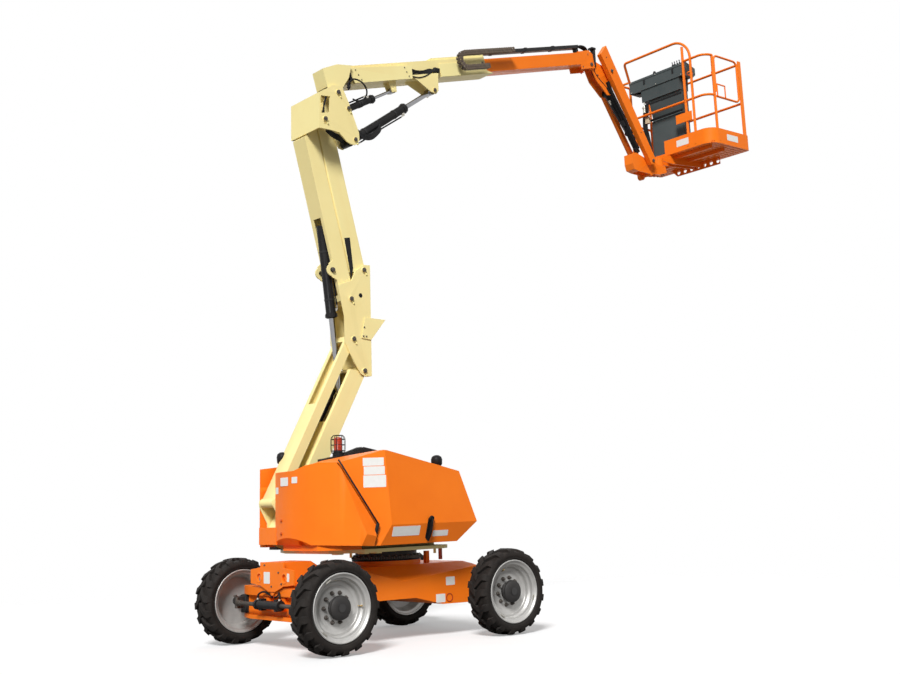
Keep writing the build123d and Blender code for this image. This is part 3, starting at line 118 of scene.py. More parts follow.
X_NEAR, X_FAR, Y_NEAR, Y_FAR = 5.001, 5.709, -0.469, 1.009
# Chassis side and nose faces, centres of the slew ring and of the platform's rotator, console face.
SIDE_Y, NOSE_X, SLEW_X, ROTATOR_X, CONSOLE_X = -0.45, -1.058, 0.18, 4.785, 5.025
NEAR, FAR, FRONT, REAR, UP = (0, -1, 0), (0, 1, 0), (-1, 0, 0), (1, 0, 0), (0, 0, 1)


# ---------------------------------------------------------------- surfaces
def unit(v):
    """Vectors over their own lengths."""
    v = np.asarray(v, float)
    return v / np.linalg.norm(v, axis=-1, keepdims=True)


def axes(z, x=(0.3, 0.2, 1.0)):
    """Right-handed axes as columns, the third along z and the first as near x as it can be."""
    z = unit(z)
    y = np.cross(z, unit(x))
    if np.linalg.norm(y) < 1e-3:
        y = np.cross(z, (0.0, 1.0, 0.0))
    y = unit(y)
    return np.stack([np.cross(y, z), y, z], 1)


def net(points, wrap=(False, False)):
    """A grid of points (rows, columns, 3) as points and four-sided faces.
    A wrapped side joins its last row or column to its first."""
    rows, cols = points.shape[:2]
    i = np.arange(rows if wrap[0] else rows - 1)
    j = np.arange(cols if wrap[1] else cols - 1)
    a, b = (g.ravel() for g in np.meshgrid(i, j, indexing="ij"))
    c, d = (a + 1) % rows, (b + 1) % cols
    return points.reshape(-1, 3), np.stack([a * cols + b, c * cols + b, c * cols + d, a * cols + d], 1)


def copies(patch, turns, places):
    """One patch repeated: each copy's points are turned by its 3x3 matrix, then moved to its place."""
    verts, faces = patch
    places = np.atleast_2d(np.asarray(places, float))
    turns = np.broadcast_to(turns, (len(places), 3, 3))
    out = np.einsum("kab,nb->kna", turns, verts) + places[:, None, :]
    step = np.arange(len(places))[:, None, None] * len(verts)
    return out.reshape(-1, 3), (faces[None] + step).reshape(-1, faces.shape[1])


def joined(patches):
    """Several patches as one."""
    start = np.cumsum([0] + [len(v) for v, _ in patches])
    return (np.concatenate([v for v, _ in patches]),
            np.concatenate([f + s for (_, f), s in zip(patches, start)]))


def round_turn(count):
    """Even angles of one full turn: 2 pi k / count."""
    return np.linspace(0, 2 * math.pi, count, endpoint=False)


def turned(profile, sides=32, close=False):
    """Profile rows (radius, height) carried round the z axis: x = r cos t, y = r sin t, z = height."""
    profile = np.asarray(profile, float)
    t = round_turn(sides)
    r, h = profile[:, 0][:, None], profile[:, 1][:, None]
    grid = np.stack([r * np.cos(t), r * np.sin(t), h + 0 * t], 2)
    return net(grid, (close, True))


def wire_ring(radius, height, thick, corners, sides):
    """A ring of round wire: the section's corners are (radius + thick cos a, height + thick sin a)."""
    return turned([
        (radius + thick * math.cos(a), height + thick * math.sin(a)) for a in round_turn(corners)], sides, True)


def shaft(radius, length, chamfer=0.002, sides=24):
    """A closed round bar along +z from the origin, its end edges cut at 45 degrees by the chamfer."""
    return turned([
        (0, 0), (radius - chamfer, 0), (radius, chamfer), (radius, length - chamfer), (radius - chamfer, length),
        (0, length)], sides)


def hexagon(across, height):
    """A hexagon bolt head along +z: a six-sided bar whose top edge is chamfered."""
    r = across / math.sqrt(3)
    return turned([(0, 0), (r, 0), (r, height * 0.8), (r * 0.84, height), (0, height)], 6)


def bar(size, chamfer=0.0):
    """A closed box of full size (x, y, z) about the origin, upright edges chamfered."""
    x, y, z = (s / 2 for s in size)
    c = min(chamfer, x * 0.95, y * 0.95)
    ring = np.array([
        (x - c, -y), (x, c - y), (x, y - c), (x - c, y), (c - x, y), (-x, y - c), (-x, c - y), (c - x, -y)])
    if not c:
        ring = np.array([(x, -y), (x, y), (-x, y), (-x, -y)])
    levels = np.array([(0, -z), (1, -z), (1, z), (0, z)])
    grid = np.stack([
        ring[None, :, 0] * levels[:, :1], ring[None, :, 1] * levels[:, :1],
        np.repeat(levels[:, 1:], len(ring), 1)], 2)
    return net(grid, (False, True))


def at(patch, place, z=UP, x=REAR):
    """A patch moved to a place with its own z and x axes turned to the given directions."""
    return copies(patch, axes(z, x), place)


def block(size, chamfer, place, z=UP, x=REAR):
    """A bar moved to a place with its own z and x axes turned to the given directions."""
    return at(bar(size, chamfer), place, z, x)


def disc(radius, height, sides):
    """A flat round plate along +z: radius over the whole height."""
    return turned([(0, 0), (radius, 0), (radius, height), (0, height)], sides)


def curve(points, steps=10):
    """A smooth line through points: the Catmull-Rom cubic of each four neighbours, at even parameters."""
    p = np.asarray(points, float)
    p = np.concatenate([[2 * p[0] - p[1]], p, [2 * p[-1] - p[-2]]])
    t = np.linspace(0, 1, steps, endpoint=False)[None, :, None]
    a, b, c, d = (q[:, None] for q in (p[:-3], p[1:-2], p[2:-1], p[3:]))
    out = 0.5 * (2 * b + (c - a) * t + (2 * a - 5 * b + 4 * c - d) * t ** 2 + (3 * b - a - 3 * c + d) * t ** 3)
    return np.concatenate([out.reshape(-1, 3), p[-2][None]])


def pipe(path, radius, sides=10, section=None):
    """A section carried along a path: ring = path + radius (N cos t + B sin t), ends drawn in to a point.
    N is square to the path and to the line's flattest direction, so the rings don't twist."""
    path = np.asarray(path, float)
    tangent = unit(np.gradient(path, axis=0))
    centred = path - path.mean(0)
    flat = np.linalg.svd(centred, full_matrices=False)[2][-1]
    normal = unit(np.cross(tangent, flat) + 1e-9)
    binormal = np.cross(tangent, normal)
    if section is None:
        t = round_turn(sides)
        section = np.stack([np.cos(t), np.sin(t)], 1)
    rings = path[:, None] + radius * (
        normal[:, None] * section[None, :, :1] + binormal[:, None] * section[None, :, 1:])
    rings = np.concatenate([
        np.repeat(path[:1, None], len(section), 1), rings, np.repeat(path[-1:, None], len(section), 1)])
    return net(rings, (False, True))


def hose(points, radius, steps=7, sides=8):
    """A pipe along the smooth line through the points."""
    return pipe(curve(points, steps), radius, sides)


def straight(start, end, radius, sides=14):
    """A round bar from one point to another."""
    start = np.asarray(start, float)
    way = np.asarray(end, float) - start
    return at(shaft(radius, float(np.linalg.norm(way)), 0.002, sides), start, way, (0.31, 0.2, 0.93))


def bolt(place, facing, across, height):
    """A hexagon head on a washer 1.35 times as wide, standing on a surface that faces the given way."""
    thick, flats = 0.003, (0.3, 0.5, 0.8)
    head = np.asarray(place, float) + np.asarray(facing, float) * thick
    return joined([
        at(disc(across * 1.35 / 2, thick, 16), place, facing, flats),
        at(hexagon(across, height), head, facing, flats)])


def plate(place, facing, up, size, thick, corner):
    """A thin plate with cut corners on a surface: size is (width, height), up its height's direction."""
    facing = unit(facing)
    across = np.cross(up, facing)
    return at(bar((size[0], size[1], thick), corner), np.asarray(place, float) + facing * thick / 2, facing, across)


def slab(outline, y, thick):
    """A flat plate of the given (x, z) outline between y and y + thick.
    Its rings are the outline and the outline moved by thick, closed to their middles."""
    ring = np.array([(x, y, z) for x, z in outline])
    other = ring + (0, thick, 0)
    ends = [np.repeat(r.mean(0)[None], len(r), 0) for r in (ring, other)]
    return net(np.stack([ends[0], ring, other, ends[1]]), (False, True))


def spot(point, y):
    """An (x, z) point at a y, as (x, y, z)."""
    return np.array((point[0], y, point[1]))


def boom(run, rise, y):
    """A point at (run, rise) along and square to the boom, from the boom pin."""
    return spot(along(BOOM_PIN, BOOM_ANGLE, run, rise), y)


def jib(run, rise, y):
    """A point at (run, rise) along and square to the jib, from the jib pin."""
    return spot(along(JIB_PIN, JIB_ANGLE, run, rise), y)


def piece(name, body, finish, patches, smooth=35.0, bevel=0.0, instead=()):
    """Puts patches into one mesh piece: doubles merged, faces turned outwards, finish and body set."""
    verts, faces = joined(patches)
    mesh = bpy.data.meshes.new(name)
    mesh.from_pydata(verts.tolist(), [], faces.tolist())
    work = bmesh.new()
    work.from_mesh(mesh)
    bmesh.ops.remove_doubles(work, verts=work.verts, dist=2e-6)
    bmesh.ops.recalc_face_normals(work, faces=work.faces)
    work.to_mesh(mesh)
    work.free()
    return settle(name, mesh, body, finish, smooth, bevel, instead)


def settle(name, mesh, body, finish, smooth, bevel, instead):
    """Shades a mesh, gives it its finish and lets it ride on its body."""
    mesh.shade_smooth()
    mesh.set_sharp_from_angle(angle=math.radians(smooth))
    mesh.materials.clear()
    mesh.materials.append(surface(finish))
    obj = bpy.data.objects.new(name, mesh)
    bpy.context.scene.collection.objects.link(obj)
    if bevel:
        edge = obj.modifiers.new("rounded_edges", "BEVEL")
        edge.width = bevel
        edge.segments = 2
        edge.limit_method = "ANGLE"
        edge.angle_limit = math.radians(32)
        edge.harden_normals = True
    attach(obj, body)
    if instead:
        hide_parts(*instead)
    return obj


def soften(node, finish, width):
    """A CAD node's shape with its edges rounded: doubles merged, flat faces made whole, then a bevel."""
    source = frame["nodes"][node]
    mesh = bpy.data.meshes.new(node + "_skin")
    work = bmesh.new()
    work.from_mesh(source.data)
    bmesh.ops.remove_doubles(work, verts=work.verts, dist=2e-5)
    bmesh.ops.dissolve_limit(work, angle_limit=math.radians(1.0), verts=work.verts, edges=work.edges)
    work.to_mesh(mesh)
    work.free()
    return settle(node + "_skin", mesh, source["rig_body"], finish, 32.0, width, (node,))


# ---------------------------------------------------------------- finishes
# name: (colour, second colour, metallic, roughness, coat,
#        patch scale, patch share, grain scale, grain bump, share of edge wear and of painted crease shade)
FINISHES = {
    "orange_paint": ((0.95, 0.2, 0.01), (0.86, 0.16, 0.008), 0.0, 0.42, 0.05, 2.6, 0.5, 420.0, 0.05, 0.35),
    "cream_paint": ((0.93, 0.79, 0.37), (0.88, 0.72, 0.31), 0.0, 0.46, 0.03, 3.0, 0.5, 420.0, 0.05, 0.3),
    "black_paint": ((0.009, 0.009, 0.01), (0.018, 0.017, 0.017), 0.0, 0.4, 0.05, 9.0, 0.6, 500.0, 0.06, 0.5),
    "chrome_rod": ((0.33, 0.33, 0.34), (0.24, 0.24, 0.25), 1.0, 0.2, 0.0, 30.0, 0.5, 900.0, 0.03, 0.0),
    "tyre_rubber": ((0.014, 0.012, 0.011), (0.03, 0.025, 0.022), 0.0, 0.7, 0.0, 11.0, 0.7, 700.0, 0.25, 0.6),
    "silver_rim": ((0.52, 0.51, 0.49), (0.36, 0.35, 0.33), 0.45, 0.4, 0.05, 8.0, 0.6, 480.0, 0.06, 0.3),
    "cast_iron": ((0.016, 0.015, 0.015), (0.032, 0.028, 0.026), 0.15, 0.6, 0.0, 18.0, 0.7, 260.0, 0.35, 0.5),
    "slate_plastic": ((0.06, 0.073, 0.074), (0.082, 0.094, 0.094), 0.0, 0.55, 0.0, 7.0, 0.5, 650.0, 0.3, 0.4),
    "amber_lens": ((0.5, 0.04, 0.008), (0.34, 0.022, 0.006), 0.0, 0.16, 0.3, 40.0, 0.5, 300.0, 0.04, 0.0),
    "hose_rubber": ((0.01, 0.01, 0.011), (0.02, 0.019, 0.018), 0.0, 0.5, 0.0, 22.0, 0.6, 1400.0, 0.3, 0.0),
    "zinc": ((0.55, 0.53, 0.47), (0.38, 0.36, 0.31), 1.0, 0.34, 0.0, 60.0, 0.6, 900.0, 0.08, 0.3),
    "brass": ((0.62, 0.42, 0.14), (0.45, 0.28, 0.09), 1.0, 0.32, 0.0, 60.0, 0.6, 900.0, 0.05, 0.0),
    "label_white": ((0.8, 0.79, 0.76), (0.7, 0.69, 0.65), 0.0, 0.32, 0.3, 30.0, 0.5, 900.0, 0.02, 0.2),
    "knob": ((0.008, 0.008, 0.009), (0.018, 0.017, 0.017), 0.0, 0.45, 0.0, 30.0, 0.5, 900.0, 0.12, 0.2),
    "dark_steel": ((0.06, 0.05, 0.042), (0.1, 0.085, 0.07), 0.3, 0.5, 0.0, 25.0, 0.6, 500.0, 0.2, 0.4),
    "chain_nylon": ((0.085, 0.06, 0.04), (0.16, 0.115, 0.08), 0.2, 0.5, 0.0, 60.0, 0.7, 700.0, 0.15, 0.3),
    # darker orange: painted shade on the floor mesh seen from below; also the darker bolts on the tail face
    "orange_grime": ((0.55, 0.095, 0.01), (0.36, 0.055, 0.008), 0.0, 0.5, 0.1, 5.0, 0.6, 420.0, 0.08, 0.3),
    "red_paint": ((0.42, 0.045, 0.012), (0.3, 0.03, 0.01), 0.0, 0.45, 0.2, 6.0, 0.5, 420.0, 0.06, 0.3),
    "beige_box": ((0.62, 0.5, 0.33), (0.5, 0.4, 0.27), 0.0, 0.5, 0.0, 12.0, 0.5, 600.0, 0.1, 0.2),
}
COLOURS = ("orange_paint", "cream_paint", "slate_plastic")
DUSTY = ("tyre_rubber", "cast_iron", "black_paint", "dark_steel")
DUST = (0.062, 0.05, 0.041, 1)
WHITE = (1, 1, 1, 1)


def node(tree, kind, links=None, **values):
    """A shader node with its values set and its inputs joined."""
    made = tree.nodes.new(kind)
    for key, value in values.items():
        setattr(made, key, value)
    for key, value in (links or {}).items():
        if isinstance(value, bpy.types.NodeSocket):
            tree.links.new(value, made.inputs[key])
        else:
            made.inputs[key].default_value = value
    return made


def mixed(tree, share, first, second, blend="MIX"):
    """Two colours mixed by a share; each is a socket or four numbers."""
    mix = node(tree, "ShaderNodeMix", data_type="RGBA", blend_type=blend)
    for index, value in ((0, share), (6, first), (7, second)):
        if isinstance(value, bpy.types.NodeSocket):
            tree.links.new(value, mix.inputs[index])
        else:
            mix.inputs[index].default_value = value
    return mix.outputs[2]


def ramp(tree, value, low, high, out_low=0.0, out_high=1.0):
    """A value mapped from low..high onto another range, kept inside it."""
    made = node(tree, "ShaderNodeMapRange", {
        "Value": value, "From Min": low, "From Max": high, "To Min": out_low, "To Max": out_high})
    return made.outputs[0]


def surface(name):
    """The finish of one name: patchy colour, uneven gloss, fine grain, lighter worn edges, painted shade darkening
    the creases, and settled dust.
    """
    found = bpy.data.materials.get("lift_" + name)
    if found:
        return found
    colour, second, metal, rough, coat, size, share, grain, bump, wear = FINISHES[name]
    look = bpy.context.scene.lift_look
    if name in COLOURS:
        colour = tuple(getattr(look, name))
    made = bpy.data.materials.new("lift_" + name)
    made.use_nodes = True
    made.diffuse_color = (*colour, 1)
    tree = made.node_tree
    shader = tree.nodes["Principled BSDF"]
    shader.inputs["Metallic"].default_value = metal
    shader.inputs["Coat Weight"].default_value = coat
    shader.inputs["Coat Roughness"].default_value = 0.12
    shader.inputs["Specular IOR Level"].default_value = 0.5 if metal or name == "amber_lens" else 0.12
    place = node(tree, "ShaderNodeTexCoord").outputs["Object"]
    patches = node(tree, "ShaderNodeTexNoise", {"Vector": place, "Scale": size, "Detail": 5.0, "Roughness": 0.6})
    specks = node(tree, "ShaderNodeTexNoise", {"Vector": place, "Scale": size * 9, "Detail": 3.0, "Roughness": 0.7})
    fine = node(tree, "ShaderNodeTexNoise", {"Vector": place, "Scale": grain, "Detail": 2.0})
    blotch = ramp(tree, patches.outputs[0], 0.35, 0.7, 0.0, share)
    shade = mixed(tree, blotch, (*colour, 1), (*second, 1))
    if wear:
        edges = node(tree, "ShaderNodeNewGeometry").outputs["Pointiness"]
        worn = ramp(tree, edges, 0.53, 0.6, 0.0, wear)
        pale = tuple(min(1.0, c * 1.25 + 0.03) for c in colour)
        shade = mixed(tree, worn, shade, (*pale, 1))
        # painted shade: creases (low pointiness) are darkened by the same share as the edge wear
        crease_shade = ramp(tree, edges, 0.47, 0.41, 0.0, wear)
        shade = mixed(tree, crease_shade, shade, (*(c * 0.45 for c in second), 1))
    if name in DUSTY:
        dusty = ramp(tree, specks.outputs[0], 0.52, 0.75, 0.0, 0.35)
        shade = mixed(tree, dusty, shade, DUST)
    tree.links.new(shade, shader.inputs["Base Color"])
    tree.links.new(ramp(tree, specks.outputs[0], 0.3, 0.7, rough * 0.8, rough * 1.25), shader.inputs["Roughness"])
    relief = node(tree, "ShaderNodeBump", {"Height": fine.outputs[0], "Strength": bump, "Distance": 0.0008})
    tree.links.new(relief.outputs[0], shader.inputs["Normal"])
    return made


class LiftLook(bpy.types.PropertyGroup):
    orange_paint: FloatVectorProperty(
        name="Machine paint", description="Colour of chassis, covers, jib and platform", subtype="COLOR", size=3,
        min=0, max=1, default=(0.95, 0.2, 0.01))
    cream_paint: FloatVectorProperty(
        name="Tower paint", description="Colour of tower arms, riser and main boom", subtype="COLOR", size=3, min=0,
        max=1, default=(0.93, 0.79, 0.37))
    slate_plastic: FloatVectorProperty(
        name="Console plastic", description="Colour of the control console", subtype="COLOR", size=3, min=0, max=1,
        default=(0.06, 0.073, 0.074))
    edge_round: FloatProperty(
        name="Plate edge", description="Rounding of sheet and plate edges", subtype="DISTANCE", unit="LENGTH",
        default=0.003, min=0.0005, max=0.01)


class LiftWheels(bpy.types.PropertyGroup):
    lugs: IntProperty(
        name="Lugs a side", description="Tread lugs on each side of a tyre", default=17, min=10, max=30)
    lug_depth: FloatProperty(
        name="Lug depth", description="Depth of the tread grooves", subtype="DISTANCE", unit="LENGTH",
        default=0.026, min=0.005, max=0.04)
    studs: IntProperty(name="Wheel studs", description="Studs in each wheel disc", default=10, min=4, max=16)


class LiftStudio(bpy.types.PropertyGroup):
    sky: FloatProperty(name="Sky", description="Strength of the soft white surround", default=0.27, min=0, max=2)
    key: FloatProperty(name="Key light", description="Strength of the main light", default=3.9, min=0, max=10)
    floor_radius: FloatProperty(
        name="Floor radius", description="Radius of the pale floor", subtype="DISTANCE", unit="LENGTH",
        default=30.0, min=5, max=60)


# Camera: place, then heading, pitch and roll in degrees, lens in millimetres, shifts across and up.
CAMERA_PLACE = (-6.569, -9.4728, 1.1624)
CAMERA_ANGLES = (39.9867, 12.3656, -2.0873)
CAMERA_LENS = 47.415
CAMERA_SHIFT = (-0.0239, -0.1009)
FLOOR_RINGS = (0.001, 1, 3, 6, 10, 16, 22)


class LIFT_OT_stage(bpy.types.Operator):
    """Camera, pale floor, white surround and soft lights"""
    bl_idname = "lift.stage"
    bl_label = "Stage"

    def execute(self, context):
        studio = context.scene.lift_studio
        turn, tilt, roll = (math.radians(a) for a in CAMERA_ANGLES)
        ahead = np.array((math.sin(turn) * math.cos(tilt), math.cos(turn) * math.cos(tilt), math.sin(tilt)))
        right = np.array((math.cos(turn), -math.sin(turn), 0.0))
        up = np.cross(right, ahead)
        side = math.cos(roll) * right + math.sin(roll) * up
        top = math.cos(roll) * up - math.sin(roll) * right
        camera = bpy.data.objects.new("camera", bpy.data.cameras.new("camera"))
        context.scene.collection.objects.link(camera)
        rows = [[side[i], top[i], -ahead[i], p] for i, p in enumerate(CAMERA_PLACE)]
        camera.matrix_world = Matrix(rows + [[0, 0, 0, 1]])
        camera.data.sensor_width = 36.0
        camera.data.lens = CAMERA_LENS
        camera.data.shift_x, camera.data.shift_y = CAMERA_SHIFT
        camera.data.clip_end = 200.0
        context.scene.camera = camera
        for name, strength, spread, way in (
            ("key", studio.key, 16.0, np.array((0.58, 0.54, -0.66))),
            ("fill", 0.35, 60.0, np.array((-0.5, -0.6, -0.5))),
        ):
            lamp = bpy.data.lights.new(name, "SUN")
            lamp.energy = strength
            lamp.angle = math.radians(spread)
            light = bpy.data.objects.new(name, lamp)
            context.scene.collection.objects.link(light)
            light.matrix_world = Matrix(axes(-way).tolist()).to_4x4()
        ring = round_turn(96)
        steps = np.array([*FLOOR_RINGS, studio.floor_radius])[:, None]
        grid = np.stack([steps * np.cos(ring), steps * np.sin(ring), steps * 0 - 0.0005 + 0 * ring], 2)
        verts, faces = net(grid, (False, True))
        mesh = bpy.data.meshes.new("floor")
        mesh.from_pydata(verts.tolist(), [], faces.tolist())
        floor = bpy.data.objects.new("floor", mesh)
        context.scene.collection.objects.link(floor)
        made = bpy.data.materials.new("studio_floor")
        made.use_nodes = True
        tree = made.node_tree
        tree.nodes.clear()
        place = node(tree, "ShaderNodeTexCoord").outputs["Object"]
        speck = node(tree, "ShaderNodeTexNoise", {"Vector": place, "Scale": 3.0}).outputs[0]
        seen = node(tree, "ShaderNodeLightPath").outputs["Is Camera Ray"]
        pale = mixed(tree, ramp(tree, speck, 0.3, 0.7), (0.94, 0.94, 0.94, 1), (0.96, 0.96, 0.96, 1))
        matt = node(tree, "ShaderNodeBsdfDiffuse", {"Color": mixed(tree, seen, (0.26, 0.26, 0.26, 1), pale)})
        glow = node(tree, "ShaderNodeEmission", {"Color": WHITE, "Strength": 1.0})
        body = node(tree, "ShaderNodeMixShader", {
            0: ramp(tree, seen, 0, 1, 0, 0.3), 1: matt.outputs[0], 2: glow.outputs[0]})
        away = node(tree, "ShaderNodeVectorMath", {0: place}, operation="LENGTH").outputs["Value"]
        clear = node(tree, "ShaderNodeBsdfTransparent")
        blend = node(tree, "ShaderNodeMixShader", {
            0: ramp(tree, away, 3.5, 9.0), 1: body.outputs[0], 2: clear.outputs[0]})
        node(tree, "ShaderNodeOutputMaterial", {"Surface": blend.outputs[0]})
        mesh.materials.append(made)
        world = bpy.data.worlds.new("surround")
        context.scene.world = world
        world.use_nodes = True
        tree = world.node_tree
        tree.nodes.clear()
        path = node(tree, "ShaderNodeLightPath")
        seen = node(tree, "ShaderNodeMath", {
            0: path.outputs["Is Camera Ray"], 1: path.outputs["Is Glossy Ray"]}, operation="MAXIMUM")
        seen = node(
            tree, "ShaderNodeMath", {0: seen.outputs[0], 1: path.outputs["Is Transmission Ray"]},
            operation="MAXIMUM")
        soft = node(tree, "ShaderNodeBackground", {"Color": WHITE, "Strength": studio.sky})
        plain = node(tree, "ShaderNodeBackground", {"Color": WHITE, "Strength": 1.0})
        blend = node(tree, "ShaderNodeMixShader", {0: seen.outputs[0], 1: soft.outputs[0], 2: plain.outputs[0]})
        node(tree, "ShaderNodeOutputWorld", {"Surface": blend.outputs[0]})
        context.scene.view_settings.view_transform = "Standard"
        return {"FINISHED"}


# CAD node: (finish, edge rounding as a share of the plate edge; 0 keeps the node's own mesh)
NODE_FINISH = {
    "chassis_frame": ("orange_paint", 1.6), "steer_axle": ("orange_paint", 1.0), "drive_axle": ("cast_iron", 1.5),
    "steering_cylinder": ("black_paint", 0.7), "steering_rod": ("dark_steel", 0.5),
    "steer_knuckle_near": ("cast_iron", 2.0), "steer_knuckle_far": ("cast_iron", 2.0),
    "hub_steer_near": ("cast_iron", 1.0), "hub_steer_far": ("cast_iron", 1.0), "hub_drive_near": ("cast_iron", 1.0),
    "hub_drive_far": ("cast_iron", 1.0), "slew_bearing": ("cast_iron", 1.2),
    "turntable_frame": ("cream_paint", 1.0), "counterweight": ("orange_paint", 3.0),
    "service_tank": ("cast_iron", 2.0), "engine_block": ("cast_iron", 2.0), "top_cover": ("black_paint", 2.0),
    "hood_near": ("orange_paint", 3.0), "hood_far": ("orange_paint", 3.0), "lower_arm": ("cream_paint", 1.3),
    "lower_link": ("cream_paint", 1.3), "upright": ("cream_paint", 0.8), "mid_arm": ("cream_paint", 1.3),
    "mid_link": ("cream_paint", 1.3), "tower_barrel": ("black_paint", 0.6), "tower_ram": ("chrome_rod", 0.4),
    "riser": ("cream_paint", 1.0), "boom_base": ("cream_paint", 1.0), "boom_fly": ("orange_paint", 1.3),
    "carrier_tube": ("black_paint", 1.0), "lift_barrel": ("black_paint", 0.8), "lift_ram": ("chrome_rod", 0.4),
    "master_barrel": ("black_paint", 0.7), "master_ram": ("chrome_rod", 0.3), "jib_knuckle": ("orange_paint", 0.8),
    "jib_arm": ("orange_paint", 1.2), "jib_link": ("orange_paint", 1.2), "jib_barrel": ("black_paint", 0.7),
    "jib_ram": ("chrome_rod", 0.3), "platform_support": ("orange_paint", 0.8),
    "platform_floor": ("orange_paint", 0.8), "platform_rails": ("orange_paint", 0), "gate": ("orange_paint", 0),
    "console": ("slate_plastic", 3.0), "console_stand": ("slate_plastic", 3.0),
    "cable_carrier": ("cream_paint", 0.5)}


class LIFT_OT_paintwork(bpy.types.Operator):
    """Gives every frame node its finish, and rounds the edges of plates, covers and castings"""
    bl_idname = "lift.paintwork"
    bl_label = "Paintwork"

    def execute(self, context):
        width = context.scene.lift_look.edge_round
        for name, (finish, share) in NODE_FINISH.items():
            if share:
                soften(name, finish, width * share)
        for name, obj in frame["nodes"].items():
            finish = NODE_FINISH.get(name, ("cast_iron", 0))[0]
            obj.data.materials.clear()
            obj.data.materials.append(surface(finish))
        return {"FINISHED"}


WHEELS = (
    ("steer_near", -AXLE_X, -1), ("steer_far", -AXLE_X, 1), ("drive_near", AXLE_X, -1), ("drive_far", AXLE_X, 1))
CARCASS = [
    (0.2613, 0.1036), (0.2845, 0.1056), (0.2885, 0.118), (0.2945, 0.1215), (0.2975, 0.1262), (0.3, 0.124),
    (0.315, 0.13), (0.325, 0.1315), (0.335, 0.13), (0.345, 0.1255), (0.352, 0.118), (0.357, 0.105), (0.36, 0.08),
    (0.361, 0.04), (0.361, 0.0)]
# lug stations along its length:
# (distance from the middle plane, lead round the tyre in pitches, half width, top radius)
LUG = np.array([
    (-0.006, 0.58, 0.025, 0.3862), (0.012, 0.47, 0.0285, 0.3865), (0.032, 0.33, 0.03, 0.3865),
    (0.052, 0.19, 0.03, 0.3862), (0.07, 0.06, 0.03, 0.385), (0.084, 0.0, 0.03, 0.383), (0.104, 0.0, 0.0305, 0.3785),
    (0.118, 0.0, 0.0305, 0.371), (0.1265, 0.0, 0.029, 0.354), (0.13, 0.0, 0.027, 0.336)])


def tyre(lugs, depth):
    """Carcass: a turned section. Lug: stations (distance, lead, half width, top radius). Each station is four
    corners, two at the top radius and two a groove's depth below and 1.12 times as wide, at the angles
    lead * pitch +- half width / tyre radius."""
    profile = np.array(CARCASS)
    both = np.concatenate([profile, profile[-2::-1] * (1, -1)])
    carcass = turned(both, 120, True)
    pitch = 2 * math.pi / lugs
    y, lead, half, top = LUG.T
    low = np.minimum(top - depth, 0.359)
    low[-3:] = (0.345, 0.335, 0.328)
    corner_r = np.stack([low, top, top, low], 1)
    corner_t = lead[:, None] * pitch + np.stack([-half * 1.12, -half, half, half * 1.12], 1) / AXLE_Z
    inward = np.stack([y - 0.008 * (y > 0.11), y, y, y - 0.008 * (y > 0.11)], 1)
    patches = [carcass]
    for side in (1, -1):
        turn = np.arange(lugs) * pitch + (0 if side > 0 else pitch / 2)
        angle = corner_t[None] + turn[:, None, None]
        rings = np.stack([corner_r * np.cos(angle), corner_r * np.sin(angle), side * inward + 0 * angle], 3)
        ends = rings.mean(2, keepdims=True)
        rings = np.concatenate([np.repeat(ends[:, :1], 4, 2), rings, np.repeat(ends[:, -1:], 4, 2)], 1)
        for ring in rings:
            patches.append(net(ring, (False, True)))
    return joined(patches)


RIM = [
    (0.106, 0.283), (0.118, 0.283), (0.1205, 0.28), (0.1205, 0.2745), (0.1165, 0.269), (0.1085, 0.264),
    (0.1045, 0.259), (0.102, 0.248), (0.098, 0.242), (0.086, 0.239), (0.072, 0.2375), (0.0665, 0.232),
    (0.061, 0.223), (0.054, 0.218), (0.042, 0.215), (0.032, 0.2125), (0.027, 0.206), (0.0265, 0.19), (0.023, 0.18),
    (0.0185, 0.172), (0.018, 0.15), (0.018, 0.0401), (0.004, 0.0401), (0.004, 0.208), (-0.04, 0.218),
    (-0.086, 0.234), (-0.098, 0.242), (-0.102, 0.248), (-0.1045, 0.259), (-0.1085, 0.264), (-0.1165, 0.269),
    (-0.1205, 0.2745), (-0.1205, 0.28), (-0.118, 0.283), (-0.106, 0.283), (-0.104, 0.2612), (0.104, 0.2612)]


